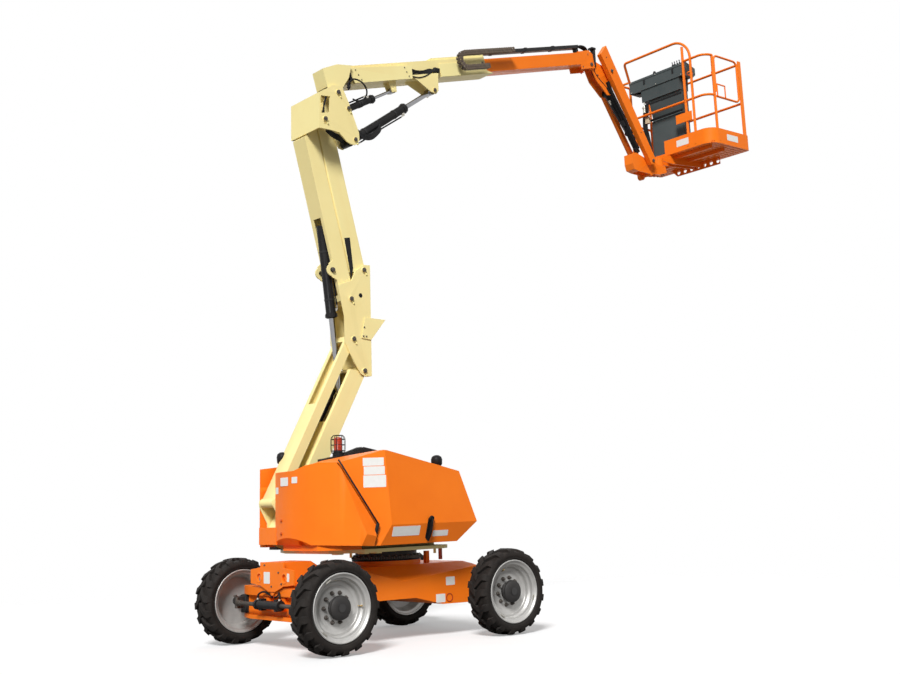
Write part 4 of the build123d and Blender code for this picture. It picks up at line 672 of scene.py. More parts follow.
class LIFT_OT_wheels(bpy.types.Operator):
    """Lugged tyres, rolled rims, studs, hub bolts, valves and balance weights on the four wheels"""
    bl_idname = "lift.wheels"
    bl_label = "Wheels"

    def execute(self, context):
        size = context.scene.lift_wheels
        rubber = tyre(size.lugs, size.lug_depth)
        rim = turned([(r, y) for y, r in RIM], 96, True)
        for count, (name, x, side) in enumerate(WHEELS):
            body = "wheel_" + name
            middle = (x, side * TRACK_HALF, AXLE_Z)
            out = (0, side, 0)
            frames = (middle, out, (math.cos(count), 0, math.sin(count)))
            piece("tyre_tread_" + name, body, "tyre_rubber", [at(rubber, *frames)], 32, 0.0022, ("tyre_" + name,))
            piece("rim_rolled_" + name, body, "silver_rim", [at(rim, *frames)], 40, 0, ("rim_" + name,))
            spin = axes(UP, REAR)
            turns = round_turn(size.studs)
            ring = np.stack([np.cos(turns), np.sin(turns), 0 * turns], 1)
            stud = joined([hexagon(0.027, 0.018), shaft(0.0075, 0.034, 0.002, 12), disc(0.019, 0.004, 18)])
            studs = copies(stud, spin, ring * 0.122 + (0, 0, 0.018))
            cap = copies(hexagon(0.013, 0.007), spin, ring * 0.074 + (0, 0, 0.098))
            piece("wheel_studs_" + name, body, "dark_steel", [at(studs, *frames)])
            face = joined([
                cap, turned([(0, 0.112), (0.03, 0.112), (0.034, 0.116), (0.034, 0.119), (0, 0.119)], 24),
                turned([
                    (0.0985, 0.066), (0.1005, 0.068), (0.1005, 0.074), (0.0985, 0.076), (0.096, 0.076),
                    (0.096, 0.066)], 48, True)])
            piece("hub_bolts_" + name, body, "cast_iron", [at(face, *frames)])
            valve = joined([
                straight((0.2, 0, 0.045), (0.214, 0, 0.075), 0.0045),
                straight((0.214, 0, 0.075), (0.219, 0, 0.088), 0.0065)])
            outwards = [np.array((math.cos(a), math.sin(a), 0)) for a in (2.1, 4.0)]
            weights = joined([
                block((0.012, 0.055, 0.008), 0.003, way * 0.252 + (0, 0, 0.106), UP, way) for way in outwards])
            piece("tyre_valve_" + name, body, "brass", [at(valve, *frames)])
            piece("balance_weights_" + name, body, "zinc", [at(weights, *frames)], 35, 0.001)
        return {"FINISHED"}


HOOD_SLOPE = (0, -0.944, -0.329)
# blank plates: (body, place, facing, width, height)
BLANK_PLATES = [
    ("hood_near", (-0.468, -0.744, 1.581), (-0.505, -0.862, -0.048), 0.185, 0.07),
    ("hood_near", (-0.459, -0.745, 1.505), (-0.505, -0.862, -0.048), 0.185, 0.072),
    ("hood_near", (-0.455, -0.743, 1.412), (-0.505, -0.862, -0.048), 0.2, 0.104),
    ("hood_near", (-0.15, -0.78, 0.974), HOOD_SLOPE, 0.3, 0.088),
    ("hood_near", (0.239, -0.768, 0.941), HOOD_SLOPE, 0.176, 0.054),
    ("turntable", (-0.9015, 0.044, 1.443), FRONT, 0.13, 0.076),
    ("turntable", (-0.8945, -0.12, 1.452), (-0.992, -0.115, 0), 0.08, 0.056),
    ("turntable", (-0.881, 0.205, 1.368), (-0.981, 0.185, 0), 0.07, 0.058),
    ("platform", (4.975, -0.016, 5.654), FRONT, 0.2, 0.085),
    ("platform", (5.387, -0.495, 5.648), NEAR, 0.22, 0.082),
    ("chassis", (0.591, SIDE_Y, 0.493), NEAR, 0.105, 0.076),
    ("chassis", (0.471, SIDE_Y, 0.345), NEAR, 0.108, 0.076),
    ("chassis", (NOSE_X, 0.082, 0.613), FRONT, 0.105, 0.1),
    ("chassis", (NOSE_X, -0.28, 0.62), FRONT, 0.04, 0.07),
]


class LIFT_OT_covers(bpy.types.Operator):
    """Blank plates; latch, knobs, seam rubber, roof ribs, hinge rods and bolts on the turntable covers"""
    bl_idname = "lift.covers"
    bl_label = "Covers"

    def execute(self, context):
        for count, (body, place, facing, width, height) in enumerate(BLANK_PLATES):
            label = plate(place, facing, UP, (width, height), 0.0012, 0.004)
            piece(f"blank_plate_{count + 1}", body, "label_white", [label], 35, 0.0004)
        slope = unit(HOOD_SLOPE)
        down = unit((0, 0.329, -0.944))
        grip = np.array((0.103, -0.79, 1.01))
        handle = curve([grip + down * fall + slope * out for fall, out in (
            (-0.085, 0), (-0.03, 0.022), (0.05, 0.026), (0.13, 0.008))], 6)
        flat = np.array([
            (1.0, 0.0), (0.8, 0.36), (0, 0.5), (-0.8, 0.36), (-1.0, 0.0), (-0.8, -0.36), (0, -0.5), (0.8, -0.36)])
        piece("cover_latch", "hood_near", "knob", [
            pipe(handle, 0.02, section=flat), plate(grip + down * 0.02, slope, -down, (0.058, 0.21), 0.008, 0.018),
            at(shaft(0.026, 0.022, 0.005, 20), grip + down * -0.07, slope)], 40, 0.002)
        piece("cover_knob_near", "hood_near", "knob", [
            at(turned([
                (0, -0.085), (0.04, -0.085), (0.042, 0.02), (0.052, 0.03), (0.054, 0.075), (0.045, 0.1),
                (0.022, 0.114), (0, 0.117)], 32), (0.43, -0.5, 1.535))], 50)
        piece("cover_knob_far", "turntable", "knob", [
            at(turned([
                (0, -0.06), (0.03, -0.06), (0.03, 0.02), (0.05, 0.035), (0.055, 0.09), (0.048, 0.118),
                (0.025, 0.134), (0, 0.137)], 32), (-0.629, 0.535, 1.6)),
            straight((-0.629, 0.535, 1.3), (-0.629, 0.535, 1.56), 0.02)], 50)
        piece("cover_seam_rubber", "turntable", "knob", [
            straight((-0.7655, -0.64, 1.607), (-0.445, -0.77, 1.048), 0.0075, 10),
            straight((-0.449, -0.772, 1.052), (-0.462, -0.716, 0.874), 0.015, 10)], 50)
        ribs = [block((0.2, 0.006, 0.01), 0.002, (-0.225, y, 1.7165), (-0.317, 0, 0.948), (0.948, 0, 0.317))
                for y in np.linspace(-0.072, 0.0, 4)]
        piece("roof_ribs", "turntable", "black_paint", ribs, 35, 0.0012)
        rods = [(x - 0.036, x + 0.036, -0.1, 1.62) for x in (-0.31, -0.15)]
        rods += [(x + a, x + b, 0.586, 1.5) for x in (-0.12, 0.22) for a, b in ((-0.04, -0.017), (0.017, 0.04))]
        hinge = [straight((a, y, z), (b, y, z), 0.0125, 16) for a, b, y, z in rods]
        piece("cover_hinge_rods", "turntable", "zinc", hinge)
        foot_bolts = [bolt((-0.8985, 0.1, z), FRONT, 0.02, 0.008) for z in (0.985, 1.1)]
        piece("tail_bolts", "turntable", "orange_grime", foot_bolts)
        return {"FINISHED"}


class LIFT_OT_beacon(bpy.types.Operator):
    """Ribbed amber lens in a wire cage"""
    bl_idname = "lift.beacon"
    bl_label = "Beacon"

    def execute(self, context):
        x, y, base = -0.372, -0.038, 1.682
        height = np.linspace(0.03, 0.152, 42)
        wave = 0.0385 + 0.0012 * np.cos(height * 2 * math.pi / 0.0087)
        wave[-4:] = (0.037, 0.034, 0.028, 0.016)
        height[-4:] = (0.15, 0.155, 0.1585, 0.16)
        rows = [(0, 0.03), *zip(wave, height), (0, 0.1605)]
        foot = turned([(0, 0), (0.048, 0), (0.048, 0.018), (0.044, 0.024), (0.041, 0.032), (0, 0.032)], 40)
        piece("beacon_base", "turntable", "knob", [at(foot, (x, y, base))])
        piece("beacon_lens", "turntable", "amber_lens", [at(turned(rows, 40), (x, y, base))], 60, 0, ("beacon",))
        wires = []
        for angle in round_turn(8):
            way = np.array((math.cos(angle), math.sin(angle), 0))
            line = curve([
                way * 0.05 + (0, 0, 0.004), way * 0.066 + (0, 0, 0.03), way * 0.069 + (0, 0, 0.085),
                way * 0.066 + (0, 0, 0.15), way * 0.045 + (0, 0, 0.176)], 6)
            wires.append(pipe(line + (x, y, base), 0.003, 8))
        for radius, z in ((0.067, 0.034), (0.0685, 0.088), (0.0665, 0.14), (0.045, 0.176)):
            wires.append(at(wire_ring(radius, z, 0.003, 8, 40), (x, y, base)))
        piece("beacon_cage", "turntable", "knob", wires, 60)
        return {"FINISHED"}


# pin ends: (body, (x, z), y of the near and of the far face or None, cap radius)
PIN_ENDS = [
    ("turntable", FOOT, (0.261, 0.539), 0.024), ("turntable", FOOT_LINK, (0.261, 0.539), 0.024),
    ("upright", KNEE_LOW, (0.255, 0.545), 0.025), ("upright", KNEE_LINK, (0.255, 0.545), 0.025),
    ("upright", KNEE_HIGH, (0.255, 0.545), 0.025), ("upright", KNEE_HIGH_LINK, (0.255, 0.545), 0.025),
    ("riser", RISER_PIN, (0.03, 0.58), 0.025), ("riser", BOOM_PIN, (0.03, 0.58), 0.025),
    ("riser", LIFT_BASE, (0.03, None), 0.022), ("riser", MASTER_BASE, (0.03, None), 0.022),
    ("boom", LIFT_EYE, (0.095, None), 0.022), ("fly", LEVEL_PIN, (0.163, 0.377), 0.025),
    ("knuckle", JIB_PIN, (0.086, None), 0.022), ("platform_support", HAND_PIN, (0.086, None), 0.022),
    ("knuckle", JIB_LINK_PIN, (None, 0.383), 0.022), ("platform_support", HAND_LINK_PIN, (None, 0.383), 0.022),
    ("tower_barrel", TRUNNION, (0.275, 0.525), 0.024),
]
# (share of the cap radius, height) of a cap, and the bodies whose pins have keeper plates
PIN_CAP = np.array([(0, 0), (0.88, 0), (0.88, 0.011), (0.8, 0.013), (0.34, 0.0135), (0.3, 0.01), (0, 0.01)])
KEPT = ("turntable", "upright", "riser", "fly")


class LIFT_OT_pins(bpy.types.Operator):
    """Splined pin ends at every pivot, with keeper plates and bolts on the tower's and the fly's pins"""
    bl_idname = "lift.pins"
    bl_label = "Pivot pins"

    def execute(self, context):
        teeth = 20
        t = round_turn(teeth * 4)
        tooth = 1.0 + 0.045 * np.sign(np.sin(t * teeth) + 1e-6)
        away = unit((0.55, 0, -0.83))
        ends, keepers = {}, {}
        rows = [(body, centre, y, side, radius) for body, centre, faces, radius in PIN_ENDS
                for y, side in zip(faces, (-1, 1)) if y is not None]
        for body, centre, y, side, radius in rows:
            way = (0, side, 0)
            r, z = PIN_CAP[:, :1] * radius, PIN_CAP[:, 1:]
            cap = net(np.stack([r * np.cos(t) * tooth, r * np.sin(t) * tooth, z + 0 * t], 2), (False, True))
            place = spot(centre, y - side * 0.003)
            ends.setdefault(body, []).extend([
                at(cap, place, way, (0.4, 0, 0.9)), at(shaft(0.007, 0.019, 0.002, 12), place, way)])
            if body in KEPT:
                face = y + side * (-0.01 if body in ("upright", "riser") else -0.004)
                place = spot(centre, face) + away * (radius + 0.02)
                keepers.setdefault(body, []).extend([
                    plate(place, way, away, (0.02, 0.04), 0.005, 0.006),
                    bolt(place + away * 0.008 + (0, side * 0.005, 0), way, 0.011, 0.006)])
        for body, parts in ends.items():
            piece("pin_ends_" + body, body, "dark_steel", parts)
        for body, parts in keepers.items():
            piece("pin_keepers_" + body, body, "orange_paint" if body == "fly" else "cream_paint", parts)
        return {"FINISHED"}


# hydraulic cylinders:
# (body of barrel, first pin, second pin, y, barrel radius, front of barrel, ports on +1 top or -1 under)
CYLINDERS = [
    ("lift_barrel", LIFT_BASE, LIFT_EYE, 0.19, 0.046, 0.91, -1),
    ("master_barrel", MASTER_BASE, MASTER_EYE, 0.19, 0.036, 0.47, 1),
    ("jib_barrel", JIB_BASE, JIB_EYE, 0.25, 0.044, 0.6, -1),
    ("tower_barrel", TRUNNION, TOWER_EYE, TOWER_Y, 0.05, 0.465, 1)]


class LIFT_OT_cylinders(bpy.types.Operator):
    """Ports with their hose lines, bands, gland slots and wipers on the hydraulic cylinders"""
    bl_idname = "lift.cylinders"
    bl_label = "Cylinders"

    def execute(self, context):
        fitting, sleeve = (0.034, 0.03, 0.022), 0.0075
        for body, first, second, y, radius, front, turn in CYLINDERS:
            start, end = spot(first, y), spot(second, y)
            way = unit(end - start)
            up = unit(np.cross(FAR, way)) * -turn
            if abs(up[1]) > 0.5:
                up = unit(UP)
            out = unit(up + np.array((0, -0.35, 0)))
            back = 0.1 if body != "tower_barrel" else -0.36
            base = start + way * back + out * radius
            tip = start + way * (front - 0.075) + out * radius
            piece("ports_" + body, body, "zinc", [
                block(fitting, 0.004, base, out, way), block(fitting, 0.004, tip, out, way),
                at(hexagon(0.022, 0.016), base + out * 0.01, out, way),
                at(hexagon(0.022, 0.016), tip + out * 0.01, out, way),
                straight(base + out * 0.02, base + out * 0.02 + way * 0.05, sleeve),
                straight(tip + out * 0.02, tip + out * 0.02 - way * 0.06, sleeve)], 35, 0.001)
            line = curve([
                base + out * 0.02 + way * 0.04, base + out * 0.019 + way * 0.14, (base + tip) / 2 + out * 0.016,
                tip + out * 0.019 - way * 0.14, tip + out * 0.02 - way * 0.05], 8)
            piece("barrel_hose_" + body, body, "hose_rubber", [pipe(line, 0.0085, 10)], 60)
            inner, outer = radius + 0.0005, radius + 0.0035
            band = turned([(inner, -0.009), (outer, -0.009), (outer, 0.009), (inner, 0.009)], 36, True)
            clamps = [at(band, start + way * s, way) for s in (back + 0.16, front - 0.18)]
            gland = start + way * (front - 0.02)
            slots = [
                block((0.01, 0.004, 0.03), 0.0, gland + d * (radius + 0.0065), way, d)
                for d in (math.cos(a) * up + math.sin(a) * np.cross(way, up) for a in round_turn(8))]
            piece("barrel_bands_" + body, body, "black_paint", clamps + slots, 40)
            rod, lip = 0.0275 if radius > 0.045 else 0.022, radius - 0.006
            wiper = turned([(rod, 0.0), (lip, 0.0), (lip, 0.006), (rod, 0.008)], 36, True)
            piece("wiper_" + body, body, "hose_rubber", [at(wiper, start + way * (front - 0.001), way)])
        return {"FINISHED"}


class LIFT_OT_tower(bpy.types.Operator):
    """Hose runs, riser hoses and fittings, upright bracket, bolts, and black sheets of painted shade for the bore
    and the link slot on the tower
    """
    bl_idname = "lift.tower"
    bl_label = "Tower"

    def execute(self, context):
        for body, origin, angle, start, end, rises, y in (
            ("lower_arm", FOOT, LOWER_ANGLE, 0.2, 1.32, (-0.1, -0.121, -0.142, -0.163), 0.47),
            ("mid_arm", KNEE_HIGH, MID_ANGLE, 0.95, 1.66, (-0.065, -0.086), TOWER_Y),
        ):
            hoses = []
            for lane, rise in enumerate(rises):
                line = []
                for s in np.linspace(0, 1, 7):
                    lift = rise + 0.003 * math.sin(9 * s + lane)
                    sway = y + 0.012 * math.sin(4 * s + lane)
                    line.append(spot(along(origin, angle, start + (end - start) * s, lift), sway))
                hoses.append(hose(line, 0.0115, 6))
            piece("hose_run_" + body, body, "hose_rubber", hoses, 60)
        x, z = BOOM_PIN
        bundle = []
        riser_line = np.array([
            (-0.369, 0.12, 4.8869), (-0.2865, 0.12, 4.8385), (-0.2032, 0.12, 4.8109), (-0.1438, 0.12, 4.7578)])
        for lane in range(4):
            y = 0.07 + lane * 0.017
            bundle.append(hose([
                (x - 0.15, y, z - 0.27), (x - 0.15 + 0.01 * lane, y, z - 0.16),
                (x - 0.12 + 0.008 * lane, y, z - 0.06 + 0.01 * lane), (x - 0.1, y + 0.02, z + 0.012),
                (x - 0.09, y + 0.05, z + 0.03)], 0.0085))
        for lane in range(5):
            y = 0.085 + lane * 0.016
            bundle.append(hose([
                (x - 0.05 + 0.012 * lane, y, z - 0.32), (x + 0.03, y, z - 0.25 + 0.012 * lane),
                (x + 0.105, y, z - 0.14), (x + 0.115 - 0.01 * lane, y, z - 0.03)], 0.008))
        for lane in range(6):
            drop = np.array((0.006 * lane, 0.01 * lane, 0.014 * lane))
            bundle.append(hose(riser_line + drop, 0.0085))
        piece("riser_hoses", "riser", "hose_rubber", bundle, 60)
        parts = [
            straight((x - 0.15, y, z - 0.292), (x - 0.15, y, z - 0.255), 0.0105, 12)
            for y in (0.07 + lane * 0.017 for lane in range(4))]
        piece("riser_fittings", "riser", "zinc", parts)
        outline = [(0.1183, 2.8475), (0.1586, 3.0576), (0.4108, 3.0502), (0.2332, 2.8344)]
        corner, other, thick = outline[0], outline[3], 0.006
        foot = [corner, other, shift(other, 0, thick), shift(corner, 0, thick)]
        piece("upright_bracket", "upright", "cream_paint", [
            slab(outline, 0.254, thick), slab(outline, 0.35, thick), slab(foot, 0.256, 0.098)], 35, 0.001)
        parts = [
            bolt(spot(shift(corner, *step), 0.254), NEAR, 0.013, 0.006)
            for step in ((0.02, 0.02), (0.055, 0.018), (0.03, 0.11))]
        piece("upright_bolts", "upright", "dark_steel", parts)
        # painted shade: a thin black disc gives the shade inside the upright's bore
        piece("upright_bore", "upright", "knob", [
            at(turned([
                (0, 0), (0.02, 0), (0.022, 0.002), (0.018, 0.003),
                (0, 0.0015)], 28), (0.1169, 0.265, 3.2799), NEAR)])
        # painted shade: a thin black sheet gives the shade inside the link's slot
        piece("link_slot", "mid_link", "knob", [
            slab([(-0.056, 3.857), (0.0107, 3.87), (0.0467, 3.5582), (0.023, 3.4429)], 0.285, 0.002)], 35)
        return {"FINISHED"}


class LIFT_OT_boom(bpy.types.Operator):
    """Bolts, hose loops, covers, hose carrier links and clips, wear pad plates and nose hoses on the boom"""
    bl_idname = "lift.boom"
    bl_label = "Boom"

    def execute(self, context):
        tilt = math.radians(BOOM_ANGLE)
        run_way = np.array((math.cos(tilt), 0, math.sin(tilt)))
        rise_way = np.array((-math.sin(tilt), 0, math.cos(tilt)))
        parts = [bolt(boom(run, rise, 0.1), NEAR, 0.01, 0.005) for run, rise in (
            (0.33, 0.232), (0.355, 0.18), (0.38, 0.125), (0.985, 0.222), (1.0, 0.172), (1.018, 0.122))]
        piece("boom_bolts", "boom", "dark_steel", parts)
        hoses = []
        for lane in range(6):
            y = 0.074 + lane * 0.009
            hoses.append(hose([
                boom(0.155 + 0.012 * lane, 0.045, y), boom(0.2 + 0.006 * lane, 0.09, y),
                boom(0.235, 0.15 - 0.004 * lane, y), boom(0.222 + 0.008 * lane, 0.215, y),
                boom(0.19, 0.262, y + 0.01)], 0.0082))
        loop = curve([
            boom(0.16, 0.02, 0.07), boom(0.175, 0.09, 0.066), boom(0.26, 0.128, 0.064), boom(0.35, 0.085, 0.064),
            boom(0.385, 0.0, 0.066), boom(0.345, -0.075, 0.07), boom(0.25, -0.1, 0.074),
            boom(0.19, -0.075, 0.076)], 9)
        hoses.append(pipe(loop, 0.0085, 10))
        for lane in range(5):
            y = 0.106 + lane * 0.007
            hoses.append(hose([
                boom(1.07, 0.118 + 0.026 * lane, y), boom(1.15, 0.1 + 0.022 * lane, y),
                boom(1.25, 0.112 + 0.016 * lane, y), boom(1.35, 0.15 + 0.01 * lane, y),
                boom(1.43, 0.16 + 0.004 * lane, y + 0.002)], 0.008))
        piece("boom_hoses", "boom", "hose_rubber", hoses, 60)
        barrel_line = np.array([
            (0.0036, 0.1, 4.916), (0.0768, 0.1, 4.8754), (0.1766, 0.1, 4.8928), (0.2663, 0.1, 4.9734),
            (0.2928, 0.1, 5.0215)])
        hoses = []
        for lane in range(6):
            drop = np.array((0.004 * lane, 0.009 * lane, 0.013 * lane))
            hoses.append(hose(barrel_line + drop, 0.0082))
        piece("lift_barrel_hoses", "lift_barrel", "hose_rubber", hoses, 60)
        piece("boom_hose_cover", "boom", "knob", [
            block((0.085, 0.034, 0.046), 0.01, boom(1.44, 0.17, 0.121), UP, run_way)], 35, 0.003)
        piece("boom_side_cover", "boom", "cream_paint", [
            block((0.64, 0.006, 0.15), 0.0, boom(1.83, 0.172, 0.1415), rise_way, run_way)], 35, 0.002)
        # Hose carrier: a top strand, half a turn about (run, rise) and a short lower strand, with links every
        # pitch along it. s runs along the strand, turn is the angle round the loop.
        loop_run, loop_rise, loop_radius, top_end, low_end = 1.845, 0.244, 0.083, 2.62, 2.167
        top_length, half = top_end - loop_run, math.pi * loop_radius
        pitch = 0.036
        links, pins = [], []
        for s in np.arange(pitch / 2, top_length + half + low_end - loop_run, pitch):
            turn = np.clip((s - top_length) / loop_radius, 0, math.pi)
            run = max(top_end - s, loop_run) - loop_radius * math.sin(turn) + max(0, s - top_length - half)
            rise = loop_rise + loop_radius * math.cos(turn)
            ahead = -math.cos(turn) * run_way - math.sin(turn) * rise_way
            outward = -math.sin(turn) * run_way + math.cos(turn) * rise_way
            middle = boom(run, rise, 0.06)
            for side in (-1, 1):
                reach = side * (0.029 if len(links) % 6 < 3 else 0.026)
                links.append(block((pitch * 1.02, 0.007, 0.052), 0.004, middle + (0, reach, 0), outward, ahead))
            links.append(block((pitch * 0.4, 0.06, 0.006), 0.0, middle + outward * 0.026, outward, ahead))
            pins.append(at(shaft(0.006, 0.008, 0.001, 8), middle + (0, -0.03, 0), NEAR))
        piece("hose_carrier_links", "fly", "chain_nylon", links, 35, 0.0008)
        piece("hose_carrier_pins", "fly", "dark_steel", pins)
        parts = [
            block((0.11, 0.006, 0.08), 0.004, boom(2.135, 0.195, BOOM_Y + side * 0.1265), rise_way, run_way)
            for side in (-1, 1)]
        piece("wear_pad_plates", "boom", "dark_steel", parts, 35, 0.001)
        clip_runs = (2.42, 2.95, 3.42)
        clips = [
            block((0.05, 0.088, 0.052), 0.006, boom(run, 0.351, 0.215), rise_way, run_way) for run in clip_runs]
        piece("carrier_clips", "fly", "black_paint", clips, 35, 0.002)
        bolts = [bolt(boom(run, 0.373, y), rise_way, 0.013, 0.006) for run in clip_runs for y in (0.187, 0.243)]
        piece("carrier_bolts", "fly", "zinc", bolts)
        nose = []
        for lane in range(4):
            y = 0.178 + lane * 0.014
            nose.append(hose([
                boom(3.845, 0.352, y), boom(3.925, 0.356 - 0.004 * lane, y), boom(3.99, 0.33 - 0.006 * lane, y),
                boom(4.01, 0.27, y), boom(3.985, 0.2 + 0.01 * lane, y), boom(3.975, 0.13, y)], 0.0085))
        piece("nose_hoses", "fly", "hose_rubber", nose, 60)
        parts = [bolt(boom(run, rise, 0.165), NEAR, 0.012, 0.005) for run, rise in ((3.85, 0.09), (3.99, 0.24))]
        piece("nose_bolts", "fly", "dark_steel", parts)
        return {"FINISHED"}


class LIFT_OT_jib(bpy.types.Operator):
    """Knuckle hoses and their stand, hose run with its clamps, and bolts on the jib and its knuckle"""
    bl_idname = "lift.jib"
    bl_label = "Jib"

    def execute(self, context):
        x, z = LEVEL_PIN
        hoses = []
        for lane in range(3):
            y = 0.19 + lane * 0.02
            hoses.append(hose([
                (x + 0.08, y, z + 0.15 - 0.015 * lane), (x + 0.092, y, z + 0.02), (x + 0.086, y, z - 0.1),
                spot(shift(JIB_BASE, -0.03, 0.02), y)], 0.009))
        piece("knuckle_hoses", "knuckle", "hose_rubber", hoses, 60)
        piece("hose_stand", "knuckle", "black_paint", [
            block((0.03, 0.07, 0.23), 0.006, (x + 0.075, 0.2, z + 0.11)),
            block((0.075, 0.08, 0.02), 0.006, (x + 0.06, 0.2, z + 0.225))], 35, 0.002)
        run = []
        for lane in range(8):
            y, depth = 0.16 + lane % 4 * 0.02, 0.022 * (lane // 4)
            run.append(hose([
                jib(0.1, -0.056 - depth, y), jib(0.25, -0.07 - depth, y),
                jib(0.6, -0.062 - depth + 0.004 * (lane % 3), y), jib(0.85, -0.07 - depth, y),
                jib(1.03, -0.066 - depth, y)], 0.01, 8))
        piece("jib_hose_run", "jib_arm", "hose_rubber", run, 60)
        run_way = jib(1, 0, 0) - jib(0, 0, 0)
        clamps = [
            block((0.05, 0.062, 0.072), 0.006, jib(s, -0.088, 0.192), run_way, FAR) for s in (0.2, 0.66, 1.04)]
        piece("jib_hose_clamps", "jib_arm", "black_paint", clamps, 35, 0.002)
        parts = [bolt(jib(s, 0.02, 0.092), NEAR, 0.01, 0.005) for s in (-0.18, 0.86)]
        piece("jib_bolts", "jib_arm", "dark_steel", parts)
        parts = [bolt((x + dx, 0.185, z + dz), NEAR, 0.014, 0.006) for dx, dz in ((0.07, 0.03), (0.12, -0.11))]
        piece("knuckle_bolts", "knuckle", "dark_steel", parts)
        return {"FINISHED"}


class LIFT_OT_chassis(bpy.types.Operator):
    """Bolts, tie-down rims, socket, steering hoses, kingpin caps, slewing ring details and brackets"""
    bl_idname = "lift.chassis"
    bl_label = "Chassis"

    def execute(self, context):
        parts = [bolt((NOSE_X, y, z), FRONT, 0.013, 0.006) for y, z in (
            (0.0, 0.54), (-0.12, 0.66), (0.12, 0.72), (-0.17, 0.565))]
        parts += [bolt((x, SIDE_Y, z), NEAR, 0.016, 0.007) for x, z in ((-0.3, 0.385), (0.86, 0.33), (0.86, 0.54))]
        piece("chassis_bolts", "chassis", "dark_steel", parts)
        rim = turned([(0.0355, -0.002), (0.046, -0.002), (0.047, 0.001), (0.045, 0.004), (0.0355, 0.004)], 36, True)
        rings = [at(rim, (NOSE_X, y, 0.612), FRONT) for y in (-0.215, 0.215)]
        rings += [
            block((0.06, 0.03, 0.016), 0.008, (-1.036, y, 0.612), FRONT, (0, 0.6, 0.8)) for y in (-0.215, 0.215)]
        piece("tie_down_rims", "chassis", "orange_paint", rings)
        socket = turned([(0.04, -0.002), (0.04, 0.003), (0.033, 0.004), (0.03, -0.001), (0, -0.001)], 32)
        piece("chassis_socket", "chassis", "red_paint", [at(socket, (0.575, SIDE_Y, 0.343), NEAR)])
        hoses = [
            hose([
                (-1.085, side * 0.185, 0.425), (-1.085, side * 0.18, 0.47), (-1.06, side * 0.13, 0.492),
                (-1.03, side * 0.06, 0.462), (-1.04, side * 0.02, 0.445)], 0.0085)
            for side in (-1, 1)]
        piece("steering_hoses", "chassis", "hose_rubber", hoses, 60)
        parts = [at(hexagon(0.024, 0.022), (-1.085, side * 0.185, 0.419), UP) for side in (-1, 1)]
        piece("steering_ports", "chassis", "zinc", parts)
        for body, side in (("knuckle_near", -1), ("knuckle_far", 1)):
            cap = turned([(0, 0), (0.04, 0), (0.04, 0.014), (0.028, 0.022), (0, 0.024)], 24)
            parts = [
                at(cap, (-AXLE_X, side * 0.6, 0.448)),
                straight((-1.085, side * 0.572, 0.34), (-1.085, side * 0.572, 0.4325), 0.016, 16),
                at(hexagon(0.034, 0.018), (-1.085, side * 0.6, 0.4355), UP)]
            piece("kingpin_caps_" + body, body, "dark_steel", parts)
        axle = [bolt((AXLE_X - 0.11, y, z), FRONT, 0.018, 0.009) for y in (-0.13, 0.0, 0.13) for z in (0.3, 0.475)]
        axle += [
            bolt((AXLE_X + 0.11, 0.12 * math.cos(a), AXLE_Z + 0.09 * math.sin(a)), REAR, 0.018, 0.009)
            for a in round_turn(10)]
        piece("axle_bolts", "chassis", "dark_steel", axle)
        t = round_turn(30)
        ring = np.stack([SLEW_X + 0.302 * np.cos(t), 0.302 * np.sin(t), 0.742 + 0 * t], 1)
        one = joined([hexagon(0.02, 0.012), disc(0.0135, 0.003, 14)])
        piece("slew_bolts", "turntable", "dark_steel", [copies(one, np.eye(3), ring)])
        seals = [at(turned(profile, 90, True), (SLEW_X, 0, 0)) for profile in (
            [(0.3205, 0.703), (0.3245, 0.706), (0.3245, 0.712), (0.3205, 0.715)],
            [(0.2905, 0.78), (0.2965, 0.783), (0.2965, 0.796), (0.2905, 0.799)])]
        piece("slew_seals", "turntable", "hose_rubber", seals)
        teeth = 84
        t = round_turn(teeth * 4)
        r = 0.321 + 0.007 * np.clip(1.6 * np.cos(t * teeth), -1, 1)
        z = np.array([0.718, 0.718, 0.74, 0.74])
        scale = np.array([0.9, 1.0, 1.0, 0.9])
        grid = np.stack([
            SLEW_X + scale[:, None] * r * np.cos(t), scale[:, None] * r * np.sin(t), z[:, None] + 0 * t], 2)
        piece("slew_teeth", "turntable", "dark_steel", [net(grid, (True, True))])
        under = [
            block((0.06, 0.11, 0.01), 0.006, (x, y, 0.794))
            for x, y in ((-0.6, -0.36), (-0.42, -0.5), (-0.3, -0.52))]
        under += [block((0.01, 0.03, 0.04), 0.0, (x, y, 0.78)) for x, y in ((-0.52, -0.45), (0.3, -0.6))]
        piece("turntable_brackets", "turntable", "cream_paint", under, 35, 0.001)
        piece("far_post", "turntable", "red_paint", [
            straight((0.395, -0.56, 0.7), (0.395, -0.56, 0.798), 0.018, 20)])
        return {"FINISHED"}


